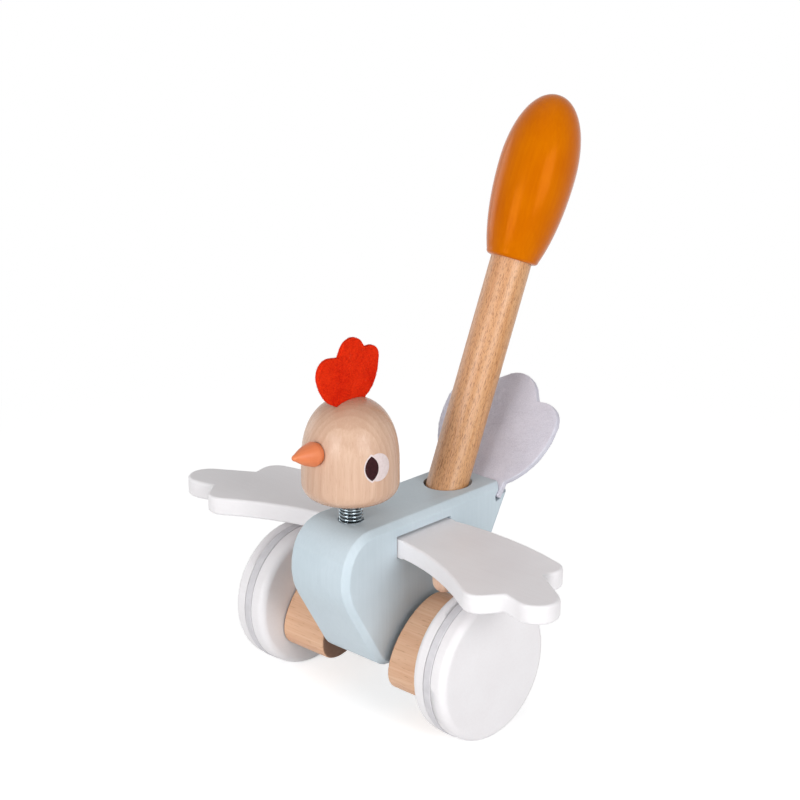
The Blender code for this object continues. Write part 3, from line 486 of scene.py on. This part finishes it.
def dressNode(node, look, body):
    # A merged, smooth-shaded copy of a CAD node. Its large flat faces keep their own normal.
    shape = bmesh.new()
    shape.from_mesh(nodes[node].data)
    bmesh.ops.remove_doubles(shape, verts=shape.verts, dist=dress["merge"])
    flat = math.radians(dress["flatAngle"])
    bmesh.ops.dissolve_limit(shape, angle_limit=flat, verts=shape.verts, edges=shape.edges)
    name = "".join(part.capitalize() if i else part for i, part in enumerate(node.split("_")))
    thing = looseObject(name, shape)
    shadeMesh(thing.data, dress["sharpAngle"])
    step = thing.modifiers.new("flatFaces", "WEIGHTED_NORMAL")
    step.mode = "FACE_AREA"
    step.weight = dress["flatWeight"]
    step.keep_sharp = True
    finishPiece(name, evaluatedMesh(thing, name), look, body, (node,), None)


for node, (look, body, slot) in dressList.items():
    dressNode(node, look, body)
print("dressed CAD pieces:", len(dressList))


# Stick and knob

stick = {"radius": 0.0110, "socket": 0.0420, "free": 0.1222, "grip": 0.0500, "ease": 0.0009, "easeSteps": 4,
         "sides": 96, "rows": 12}
knob = {"radius": 0.0208, "length": 0.0901, "neck": 0.0134, "waist": 0.0485, "power": 2.1, "lip": 0.0022,
        "lipSteps": 6, "bore": 0.0114, "mouth": 0.0004, "sides": 128, "rows": 60}


def alongStick(distance):
    return Matrix.Translation(stickFoot + stickUp * distance) @ Matrix.Rotation(-stickLean, 4, "X")


def knobRadius(height):
    upper = knob["length"] - knob["waist"]
    if height > knob["waist"]:
        share = min((height - knob["waist"]) / upper, 1.0)
        return knob["radius"] * (1 - share ** knob["power"]) ** (1 / knob["power"])
    reach = knob["waist"] / math.sqrt(1 - (knob["neck"] / knob["radius"]) ** 2)
    return knob["radius"] * math.sqrt(1 - ((knob["waist"] - height) / reach) ** 2)


def makeStick():
    length = stick["socket"] + stick["free"] + stick["grip"]
    radius, rows = stick["radius"], stick["rows"]
    foot = roundedFoot(radius, stick["ease"], stick["easeSteps"])
    profile = [(0, 0)] + foot + [(radius, length * s / rows) for s in range(1, rows)]
    profile += [(r, length - h) for r, h in reversed(foot)] + [(0, length)]
    shape = lathe(profile, stick["sides"], alongStick(-stick["socket"]))
    shapePiece("stick", shape, "stickBeech", "toy_body", ("stick",))


def makeKnob():
    lip, rows, bore, mouth = (knob[k] for k in ("lip", "rows", "bore", "mouth"))
    depth = stick["grip"] + layout["gap"]
    profile = [(0, depth), (bore, depth), (bore, mouth), (bore + mouth, 0)]
    profile += roundedFoot(knobRadius(lip), lip, knob["lipSteps"])[:-1]
    heights = [lip + (knob["length"] - lip) * math.sin(math.pi / 2 * s / rows) for s in range(rows)]
    profile += [(knobRadius(h), h) for h in heights] + [(0, knob["length"])]
    shape = lathe(profile, knob["sides"], alongStick(stick["free"]))
    shapePiece("knob", shape, "orangeLacquer", "toy_body", ("knob",))


makeStick()
makeKnob()
print("stick and knob done")


# Head, beak and printed eyes

head = {"radius": 0.0248, "height": 0.0519, "dome": 0.0349, "domePower": 2.4, "round": 0.0083, "sides": 128,
        "roundSteps": 12, "sideRows": 4, "domeRows": 40, "socketRadius": 0.0067, "socketDepth": 0.0083,
        "mouth": 0.0003, "eased": 0.00035, "easedAngle": 50, "sharpAngle": 40, "slotFront": 0.0106,
        "slotRear": 0.0103, "slotHeight": 0.03}
beak = {"radius": 0.0063, "base": 0.0055, "length": 0.0149, "tip": 0.0016, "height": 0.0288, "lift": 5.5,
        "shoulder": 0.0014, "shoulderSteps": 6, "bulge": 0.0006, "sideRows": 14, "tipRows": 10,
        "seat": 0.0014, "tenon": 0.0030, "tenonLength": 0.0090, "mouthIn": 0.0002, "mouthOut": 0.0006,
        "cutReach": 0.01, "sides": 64}
eye = {"discRadius": 0.0071, "discAngle": 79.6, "discSteps": 72, "height": 0.0225, "pupilAngle": 70.9,
       "pupilHalfWidth": 0.0037, "pupilHalfHeight": 0.0063, "lensSteps": 24, "rim": 0.0006, "rimTall": 1.7,
       "proud": 0.00004, "layers": (1.0, 1.6, 2.4), "rings": 8, "skirt": 0.0002, "back": 0.0004,
       "sharpAngle": 60}


def headRadius(height):
    # Radius of the head at a height above its underside
    domeStart = head["height"] - head["dome"]
    if height > domeStart:
        share = min((height - domeStart) / head["dome"], 1.0)
        return head["radius"] * (1 - share ** head["domePower"]) ** (1 / head["domePower"])
    if height < head["round"]:
        drop = head["round"] - height
        return head["radius"] - head["round"] + math.sqrt(max(head["round"] ** 2 - drop ** 2, 0))
    return head["radius"]


def makeHead():
    rim, depth, mouth, low = (head[k] for k in ("socketRadius", "socketDepth", "mouth", "round"))
    radius, dome, rows, domeRows = (head[k] for k in ("radius", "dome", "sideRows", "domeRows"))
    profile = [(0, depth), (rim, depth), (rim, mouth), (rim + mouth, 0)]
    profile += roundedFoot(radius, low, head["roundSteps"])
    domeStart, power = head["height"] - dome, 2 / head["domePower"]
    profile += [(radius, low + (domeStart - low) * s / rows) for s in range(1, rows + 1)]
    profile += [(radius * math.cos(a) ** power, domeStart + dome * math.sin(a) ** power)
                for a in (math.pi / 2 * s / domeRows for s in range(1, domeRows))]
    profile += [(0, head["height"])]
    place = Matrix.Translation((0, headY, headLow.z)) @ Matrix.Rotation(math.pi / head["sides"], 4, "Z")
    thing = looseObject("head", lathe(profile, head["sides"], place))
    cutters = [combSlot(), beakSeat()]
    for cutter in cutters:
        cut = thing.modifiers.new(cutter.name, "BOOLEAN")
        cut.operation = "DIFFERENCE"
        cut.solver = "EXACT"
        cut.object = cutter
    ease = thing.modifiers.new("easedEdges", "BEVEL")
    ease.width = head["eased"]
    ease.segments = 2
    ease.limit_method = "ANGLE"
    ease.angle_limit = math.radians(head["easedAngle"])
    ease.miter_outer = "MITER_ARC"
    mesh = evaluatedMesh(thing, "head")
    for cutter in cutters:
        bpy.data.objects.remove(cutter, do_unlink=True)
    finishPiece("head", mesh, "headBeech", "head_body", ("head",), head["sharpAngle"])


def combSlot():
    low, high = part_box("comb")
    gap, height = layout["gap"], head["slotHeight"]
    front, rear = headY - head["slotFront"], headY + head["slotRear"]
    size = (2 * ((high.x - low.x) / 2 + gap), rear - front, height)
    centre = (0, (front + rear) / 2, low.z - gap + height / 2)
    made = bmesh.new()
    bmesh.ops.create_cube(made, size=1)
    made.transform(Matrix.Translation(centre) @ Matrix.Diagonal((*size, 1)))
    return looseObject("combSlot", made)


def beakPlace():
    turn = Matrix.Rotation(math.pi / 2 - math.radians(beak["lift"]), 4, "X")
    return Matrix.Translation((0, headY - head["radius"], headLow.z + beak["height"])) @ turn


def beakSeat():
    gap, reach = layout["gap"], beak["cutReach"]
    tenon, base, wide = (beak[k] + gap for k in ("tenon", "base", "radius"))
    deep, seat = (-beak[k] - gap for k in ("tenonLength", "seat"))
    profile = [(0, deep), (tenon, deep), (tenon, seat), (base, seat), (base, -beak["mouthIn"]),
               (wide, beak["mouthOut"]), (wide, reach), (0, reach)]
    return looseObject("beakSeat", lathe(profile, beak["sides"], beakPlace()))


def makeBeak():
    base, wide, tip, length, shoulder = (beak[k] for k in ("base", "radius", "tip", "length", "shoulder"))
    tenon, deep, seat = (beak[k] for k in ("tenon", "tenonLength", "seat"))
    rows, tipRows = beak["sideRows"], beak["tipRows"]
    profile = [(0, -deep), (tenon, -deep), (tenon, -seat), (base, -seat), (base, 0)]
    profile += [(base + (wide - base) * math.sin(a), shoulder * (1 - math.cos(a)))
                for a in quarterTurn(beak["shoulderSteps"])[1:]]
    for step in range(1, rows):
        share = step / rows
        bulge = beak["bulge"] * math.sin(math.pi * share)
        profile.append((wide + (tip - wide) * share + bulge, shoulder + (length - tip - shoulder) * share))
    slope = math.atan2(wide - tip, length - tip)
    profile += [(tip * math.cos(a), length - tip + tip * math.sin(a))
                for a in (slope + (math.pi / 2 - slope) * s / tipRows for s in range(tipRows))]
    profile += [(0, length)]
    shape = lathe(profile, beak["sides"], beakPlace())
    shapePiece("beak", shape, "coralLacquer", "head_body", ("beak",))


def onHead(side, angle, across, up, lift):
    # A point on the head, by its distance across and up from a mark at an angle from the front
    height = eye["height"] + up
    turn = math.radians(angle) + across / head["radius"]
    radius = headRadius(height) + lift
    return Vector((side * radius * math.sin(turn), headY - radius * math.cos(turn), headLow.z + height))


def printedPatch(name, side, angle, outline, look, lift):
    # A thin printed patch that follows the head's curve, from rings of its outline towards its middle
    made = bmesh.new()
    ringCount, count = eye["rings"], len(outline)
    rings = []
    for step in range(1, ringCount + 1):
        points = [onHead(side, angle, x * step / ringCount, z * step / ringCount, lift) for x, z in outline]
        rings.append([made.verts.new(point) for point in points])
    skirt = [made.verts.new(onHead(side, angle, x, z, -eye["skirt"])) for x, z in outline]
    centre = made.verts.new(onHead(side, angle, 0, 0, lift))
    back = made.verts.new(onHead(side, angle, 0, 0, -eye["back"]))
    for step in range(count):
        after = (step + 1) % count
        made.faces.new((centre, rings[0][step], rings[0][after]))
        for low, high in zip(rings, rings[1:]):
            made.faces.new((low[step], high[step], high[after], low[after]))
        made.faces.new((rings[-1][step], skirt[step], skirt[after], rings[-1][after]))
        made.faces.new((skirt[after], skirt[step], back))
    bmesh.ops.recalc_face_normals(made, faces=made.faces)
    shapePiece(name, made, look, "head_body", (), eye["sharpAngle"])


def lensOutline(halfWidth, halfHeight):
    # Two arcs that meet in points above and below
    radius = (halfWidth ** 2 + halfHeight ** 2) / (2 * halfWidth)
    reach = math.asin(halfHeight / radius)
    steps = eye["lensSteps"]
    right = [(radius * math.cos(a) - radius + halfWidth, radius * math.sin(a)) for a in
             (-reach + 2 * reach * s / steps for s in range(steps + 1))]
    left = [(-x, z) for x, z in reversed(right)]
    return right + left[1:-1]


def makeEyes():
    radius, steps = eye["discRadius"], eye["discSteps"]
    turns = [2 * math.pi * s / steps for s in range(steps)]
    disc = [(radius * math.cos(a), radius * math.sin(a)) for a in turns]
    wide, tall, rim = eye["pupilHalfWidth"], eye["pupilHalfHeight"], eye["rim"]
    ring = lensOutline(wide + rim, tall + eye["rimTall"] * rim)
    patches = (("EyeDisc", "discAngle", disc, "eyeWhite", "white_paint"),
               ("EyeRim", "pupilAngle", ring, "eyeWhite", "white_paint"),
               ("Pupil", "pupilAngle", lensOutline(wide, tall), "eyeDark", "beech"))
    for side, label in ((1, "left"), (-1, "right")):
        for layer, (name, angle, outline, look, slot) in zip(eye["layers"], patches):
            printedPatch(label + name, side, eye[angle], outline, look, layer * eye["proud"])


makeHead()
makeBeak()
makeEyes()
print("head, beak and eyes done")


# Felt comb and tail. A lobe is its centre and radius, beside and above the piece's foot.

tail = {"thickness": 0.0036, "root": 0.0217, "spread": -0.0012, "depth": 0.0095, "bend": (0.0395, 0.0124),
        "sideLobe": (0.0259, 0.0342, 0.0124), "topLobe": (0.0030, 0.0430, 0.0158), "notch": (0.0200, 0.0462),
        "grain": 0.00040, "fuzz": 0.00010, "fibres": 5200}
comb = {"thickness": 0.0026, "front": -0.0104, "rear": 0.0100, "socket": 0.0085, "mouthFront": 0.0018,
        "mouthRear": 0.0012, "spread": 0.0085, "rise": 0.0030, "frontRise": 0.0008,
        "lobes": ((-0.0147, 0.0155, 0.0080), (0.0011, 0.0225, 0.0084), (0.0134, 0.0182, 0.0063)),
        "notches": ((-0.0083, 0.0226), (0.0100, 0.0243)), "grain": 0.00032, "fuzz": 0.00008, "fibres": 2600}
felt = {"lobeSteps": 18, "sideSteps": 14, "skin": 0.00008, "softenShare": 0.5, "softenRounds": 3,
        "lumps": ((1100, 0.7), (420, 0.9))}
fibre = {"length": 0.0014, "radius": 0.000020, "lift": 0.25, "seed": 5, "smallest": 0.5, "largest": 1.3,
         "steps": 4, "sides": 3}


def arcPoints(lobe, start, end, steps):
    angles = [start + (end - start) * s / steps for s in range(steps + 1)]
    return [(lobe[0] + lobe[2] * math.cos(a), lobe[1] + lobe[2] * math.sin(a)) for a in angles]


def touchAngle(point, lobe, side):
    across = Vector(point) - Vector(lobe[:2])
    return math.atan2(across.y, across.x) + side * math.acos(min(1, lobe[2] / across.length))


def curvePoints(start, control, end, steps):
    return [tuple((1 - t) ** 2 * a + 2 * t * (1 - t) * b + t * t * c for a, b, c in zip(start, control, end))
            for t in (s / steps for s in range(1, steps))]


def lobedOutline(rootStart, firstBend, lobes, notches, lastBend, rootEnd):
    # From root to root round the lobes, which are joined at notches
    outline = [rootStart]
    for index, lobe in enumerate(lobes):
        lead = firstBend if index == 0 else notches[index - 1]
        follow = notches[index] if index < len(notches) else lastBend
        start, end = touchAngle(lead, lobe, 1), touchAngle(follow, lobe, -1)
        while end < start:
            end += 2 * math.pi
        arc = arcPoints(lobe, start, end, felt["lobeSteps"])
        if index == 0:
            outline += curvePoints(rootStart, firstBend, arc[0], felt["sideSteps"])
        outline += arc
        if index < len(notches):
            outline.append(notches[index])
    return outline + curvePoints(outline[-1], lastBend, rootEnd, felt["sideSteps"]) + [rootEnd]


def feltSolid(name, outline, thickness, place, grain):
    # A cut sheet of felt, remeshed fine, with its rims softened
    shape = bmesh.new()
    half = thickness / 2 - felt["skin"]
    low = [shape.verts.new((x, y, -half)) for x, y in outline]
    high = [shape.verts.new((x, y, half)) for x, y in outline]
    shape.faces.new(low)
    shape.faces.new(high)
    for step in range(len(outline)):
        after = (step + 1) % len(outline)
        shape.faces.new((low[step], low[after], high[after], high[step]))
    bmesh.ops.recalc_face_normals(shape, faces=shape.faces)
    shape.transform(place)
    thing = looseObject(name, shape)
    voxels = thing.modifiers.new("voxels", "REMESH")
    voxels.mode = "VOXEL"
    voxels.voxel_size = grain
    soften = thing.modifiers.new("soften", "SMOOTH")
    soften.factor = felt["softenShare"]
    soften.iterations = felt["softenRounds"]
    return evaluatedMesh(thing, name)


def ruffleFelt(mesh, height):
    # Uneven pressed surface: fibre-sized lumps and a broader softness
    moved = []
    for vertex in mesh.vertices:
        lift = sum(noise.noise(vertex.co * scale) * share for scale, share in felt["lumps"])
        moved.append(vertex.co + vertex.normal * height * lift)
    for vertex, place in zip(mesh.vertices, moved):
        vertex.co = place


def tubeAlong(tree, curve, sides, radius, capped):
    ring = addNode(tree, "GeometryNodeCurvePrimitiveCircle", {"mode": "RADIUS"}, Resolution=sides,
                   Radius=radius)
    tube = addNode(tree, "GeometryNodeCurveToMesh", Curve=curve,
                   **{"Profile Curve": ring.outputs[0], "Fill Caps": capped})
    return tube.outputs[0]


def endTree(tree, given, result, shape):
    real = addNode(tree, "GeometryNodeRealizeInstances", i0=shape)
    painted = addNode(tree, "GeometryNodeSetMaterial", Geometry=real.outputs[0], Material=given["Material"])
    tree.links.new(painted.outputs[0], result[0])


def makeFibreTree():
    # Short bent fibres lying close to the felt
    tree, given, result = newTree("feltFibres", "GeometryNodeTree", {
        "Geometry": "Geometry", "Count per area": "Float", "Fibre length": "Float", "Fibre radius": "Float",
        "Lift": "Float", "Seed": "Int", "Material": "Material"}, {"Geometry": "Geometry"})
    seed = given["Seed"]
    scatter = addNode(tree, "GeometryNodeDistributePointsOnFaces", {"distribute_method": "RANDOM"},
                      Mesh=given["Geometry"], Density=given["Count per area"], Seed=seed)
    arch = addNode(tree, "GeometryNodeCurvePrimitiveBezierSegment", i0=fibre["steps"])
    half = maths(tree, "MULTIPLY", given["Fibre length"], 0.5)
    back = maths(tree, "MULTIPLY", half, -1.0)
    rise = maths(tree, "MULTIPLY", given["Fibre length"], given["Lift"])
    for label, (x, y, z) in (("Start", (back, 0.0, 0.0)), ("Start Handle", (back, 0.0, rise)),
                             ("End Handle", (half, half, rise)), ("End", (half, 0.0, 0.0))):
        point = addNode(tree, "ShaderNodeCombineXYZ", i0=x, i1=y, i2=z)
        tree.links.new(point.outputs[0], arch.inputs[label])
    tube = tubeAlong(tree, arch.outputs[0], fibre["sides"], given["Fibre radius"], False)
    spin, size = (addNode(tree, "FunctionNodeRandomValue", {"data_type": "FLOAT"}, i2=low, i3=high, Seed=seed)
                  for low, high in ((0.0, 2 * math.pi), (fibre["smallest"], fibre["largest"])))
    turn = addNode(tree, "ShaderNodeCombineXYZ", i2=spin.outputs[1])
    lay = addNode(tree, "FunctionNodeRotateRotation", {"rotation_space": "LOCAL"},
                  i0=scatter.outputs["Rotation"], i1=turn.outputs[0])
    copies = addNode(tree, "GeometryNodeInstanceOnPoints", Points=scatter.outputs["Points"], Instance=tube,
                     Rotation=lay.outputs[0], Scale=size.outputs[1])
    endTree(tree, given, result, copies.outputs[0])
    return tree


def runTree(name, host, tree, values):
    # Runs a node tree on a host mesh and keeps its result as a plain mesh
    maker = bpy.data.objects.new(name, host)
    bpy.context.scene.collection.objects.link(maker)
    step = maker.modifiers.new(name, "NODES")
    step.node_group = tree
    for item in tree.interface.items_tree:
        if item.item_type == "SOCKET" and item.in_out == "INPUT" and item.name in values:
            step[item.identifier] = values[item.name]
    found = maker.evaluated_get(bpy.context.evaluated_depsgraph_get())
    mesh = bpy.data.meshes.new_from_object(found)
    bpy.data.objects.remove(maker, do_unlink=True)
    mesh.name = name
    return mesh


fibreTree = makeFibreTree()


def makeFelt(name, outline, sizes, place, look, body):
    mesh = feltSolid(name, outline, sizes["thickness"], place, sizes["grain"])
    ruffleFelt(mesh, sizes["fuzz"])
    finishPiece(name, mesh, look, body, (name,), 0)
    area = sum(face.area for face in mesh.polygons)
    fuzz = runTree(name + "Fuzz", mesh, fibreTree, {
        "Count per area": sizes["fibres"] / area, "Fibre length": fibre["length"],
        "Fibre radius": fibre["radius"], "Lift": fibre["lift"], "Seed": fibre["seed"],
        "Material": looks[look]})
    finishPiece(name + "Fuzz", fuzz, look, body, (), 0)


def makeTail():
    lobe, notch, bend = tail["sideLobe"], tail["notch"], tail["bend"]
    root, spread, depth = tail["root"], tail["spread"], tail["depth"]
    lobes = [lobe, tail["topLobe"], (-lobe[0], lobe[1], lobe[2])]
    outline = lobedOutline((root, spread), bend, lobes, [notch, (-notch[0], notch[1])], (-bend[0], bend[1]),
                           (-root, spread))
    outline += [(-root, -depth), (root, -depth)]
    stand = Matrix(((1, 0, 0, 0), (0, 0, 1, 0), (0, 1, 0, 0), (0, 0, 0, 1)))
    place = Matrix.Translation(tailFoot) @ Matrix.Rotation(-tailLean, 4, "X") @ stand
    makeFelt("tail", outline, tail, place, "lilacFelt", "toy_body")


def makeComb():
    front, rear, spread, depth = (comb[k] for k in ("front", "rear", "spread", "socket"))
    outline = lobedOutline((rear, -comb["mouthRear"]), (rear + spread, comb["rise"]), comb["lobes"][::-1],
                           comb["notches"][::-1], (front - spread, comb["frontRise"]),
                           (front, -comb["mouthFront"]))
    outline += [(front, -depth), (rear, -depth)]
    top = headLow.z + head["height"]
    place = Matrix(((0, 0, 1, 0), (1, 0, 0, headY), (0, 1, 0, top), (0, 0, 0, 1)))
    makeFelt("comb", outline, comb, place, "redFelt", "head_body")


makeTail()
makeComb()
print("felt done")


# Neck spring: one helix from a node tree, split at the neck's pivot into a lower and an upper half

spring = {"radius": 0.0063, "wire": 0.00072, "pitch": 0.00192, "perTurn": 32, "wireSides": 12,
          "sharpAngle": 50}


def makeSpringTree():
    tree, given, result = newTree("neckSpring", "GeometryNodeTree", {
        "Geometry": "Geometry", "Turns": "Float", "Radius": "Float", "Height": "Float", "Wire": "Float",
        "Per turn": "Int", "Start turn": "Float", "Base": "Vector", "Material": "Material"},
        {"Geometry": "Geometry"})
    radii = {"Start Radius": given["Radius"], "End Radius": given["Radius"]}
    helix = addNode(tree, "GeometryNodeCurveSpiral", Resolution=given["Per turn"], Rotations=given["Turns"],
                    Height=given["Height"], **radii)
    turn = addNode(tree, "ShaderNodeCombineXYZ", i2=given["Start turn"])
    placed = addNode(tree, "GeometryNodeTransform", Geometry=helix.outputs[0], Translation=given["Base"],
                     Rotation=turn.outputs[0])
    tube = tubeAlong(tree, placed.outputs[0], spring["wireSides"], given["Wire"], True)
    endTree(tree, given, result, tube)
    return tree


def makeSpring():
    low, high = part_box("neck_spring")
    tree = makeSpringTree()
    turnsPerLength = 1 / spring["pitch"]
    wire, pivot = spring["wire"], neckPivot.z
    # Each half has its name, its ends, its two bodies, and two heights
    halves = (("neckSpringLower", low.z + wire, pivot, "toy_body", "neck", bodyTop, pivot),
              ("neckSpringUpper", pivot, high.z - wire, "neck", "head_body", pivot, headLow.z))
    for name, bottom, top, first, second, bendStart, bendEnd in halves:
        mesh = runTree(name, bpy.data.meshes.new(name + "Host"), tree, {
            "Turns": (top - bottom) * turnsPerLength, "Radius": spring["radius"] - wire,
            "Height": top - bottom, "Wire": wire, "Per turn": spring["perTurn"],
            "Start turn": (bottom - pivot) * turnsPerLength * 2 * math.pi, "Base": (0, headY, bottom),
            "Material": looks["springSteel"]})
        piece = finishPiece(name, mesh, "springSteel", None, (), spring["sharpAngle"])
        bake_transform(piece)
        if name == "neckSpringLower":
            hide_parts("neck_spring")


makeSpring()
print("neck spring done")


# Studio: floor, lamps and camera

studio = {"floorSize": 6.0, "fadeStart": 0.20, "fadeEnd": 0.55, "floorTone": 0.80, "floorLift": 0.56,
          "world": 0.35, "lampTarget": (0, 0, 0.12)}
# Each lamp's azimuth and elevation in degrees, distance, size and power
lamps = {"keyLamp": (77, 18, 1.5, 0.7, 11.6), "fillLamp": (6, 14, 1.5, 0.7, 10.8),
         "topLamp": (40, 82, 1.6, 1.2, 2.1), "sideLamp": (280, 10, 1.5, 0.7, 2.4)}
# Fitted to the photograph: 43.9 degrees to the bird's left of its front, 18.6 degrees up
view = {"azimuth": 43.88, "elevation": 18.64, "distance": 1.07409, "angle": 21.84, "right": 0.00727,
        "up": 0.07891, "height": 0.080, "sensor": 36}
white = (1, 1, 1, 1)


def shownRay(tree):
    # 1 for a ray that the camera sees, straight or through gloss and glass
    path = addNode(tree, "ShaderNodeLightPath").outputs
    indirect = maths(tree, "MAXIMUM", path["Is Glossy Ray"], path["Is Transmission Ray"])
    return maths(tree, "MAXIMUM", path["Is Camera Ray"], indirect)


def makeFloor():
    made, tree, shader = newMaterial("paleFloor")
    tree.nodes.remove(shader)
    place = addNode(tree, "ShaderNodeTexCoord").outputs["Object"]
    distance = addNode(tree, "ShaderNodeVectorMath", {"operation": "LENGTH"}, i0=place).outputs["Value"]
    far = remap(tree, distance, studio["fadeStart"], studio["fadeEnd"], smooth=True)
    diffuse = addNode(tree, "ShaderNodeBsdfDiffuse", i0=(studio["floorTone"],) * 3 + (1,))
    lift = addNode(tree, "ShaderNodeEmission", i0=white, i1=studio["floorLift"])
    near = addNode(tree, "ShaderNodeAddShader", i0=diffuse.outputs[0], i1=lift.outputs[0])
    bright = addNode(tree, "ShaderNodeEmission", i0=white, i1=1.0)
    shown = addNode(tree, "ShaderNodeMixShader", i0=far, i1=near.outputs[0], i2=bright.outputs[0])
    whole = addNode(tree, "ShaderNodeMixShader", i0=shownRay(tree), i1=diffuse.outputs[0],
                    i2=shown.outputs[0])
    tree.links.new(whole.outputs[0], tree.nodes["Material Output"].inputs[0])
    shape = bmesh.new()
    bmesh.ops.create_grid(shape, x_segments=1, y_segments=1, size=studio["floorSize"] / 2)
    floor = looseObject("floor", shape)
    floor.data.materials.append(made)


def makeWorld():
    world = bpy.data.worlds.new("paleRoom")
    world.use_nodes = True
    tree = world.node_tree
    room = tree.nodes["Background"]
    room.inputs[0].default_value = white
    room.inputs[1].default_value = studio["world"]
    bright = addNode(tree, "ShaderNodeBackground", i0=white, i1=1.0)
    mixed = addNode(tree, "ShaderNodeMixShader", i0=shownRay(tree), i1=room.outputs[0], i2=bright.outputs[0])
    tree.links.new(mixed.outputs[0], tree.nodes["World Output"].inputs[0])
    bpy.context.scene.world = world


def direction(azimuth, elevation):
    # From the toy towards a lamp or the camera
    a, e = math.radians(azimuth), math.radians(elevation)
    return Vector((math.sin(a) * math.cos(e), -math.cos(a) * math.cos(e), math.sin(e)))


def makeLamps():
    for name, (azimuth, elevation, distance, size, power) in lamps.items():
        back = direction(azimuth, elevation)
        light = bpy.data.lights.new(name, "AREA")
        light.shape = "RECTANGLE"
        light.size = size
        light.size_y = size
        light.energy = power
        lamp = bpy.data.objects.new(name, light)
        lamp.location = Vector(studio["lampTarget"]) + back * distance
        lamp.rotation_mode = "QUATERNION"
        lamp.rotation_quaternion = (-back).to_track_quat("-Z", "Y")
        bpy.context.scene.collection.objects.link(lamp)


def makeCamera():
    a = math.radians(view["azimuth"])
    back = direction(view["azimuth"], view["elevation"])
    right = Vector((math.cos(a), math.sin(a), 0))
    up = back.cross(right)
    lens = bpy.data.cameras.new("camera")
    lens.sensor_width = view["sensor"]
    lens.lens = view["sensor"] / 2 / math.tan(math.radians(view["angle"] / 2))
    camera = bpy.data.objects.new("camera", lens)
    centre = Vector((0, axleY, view["height"])) + right * view["right"] + up * view["up"]
    turn = Matrix((right, up, back)).transposed().to_4x4()
    camera.matrix_world = Matrix.Translation(centre + back * view["distance"]) @ turn
    bpy.context.scene.collection.objects.link(camera)
    bpy.context.scene.camera = camera


makeFloor()
makeWorld()
makeLamps()
makeCamera()
bpy.context.scene.view_settings.view_transform = "Standard"
print("studio done")
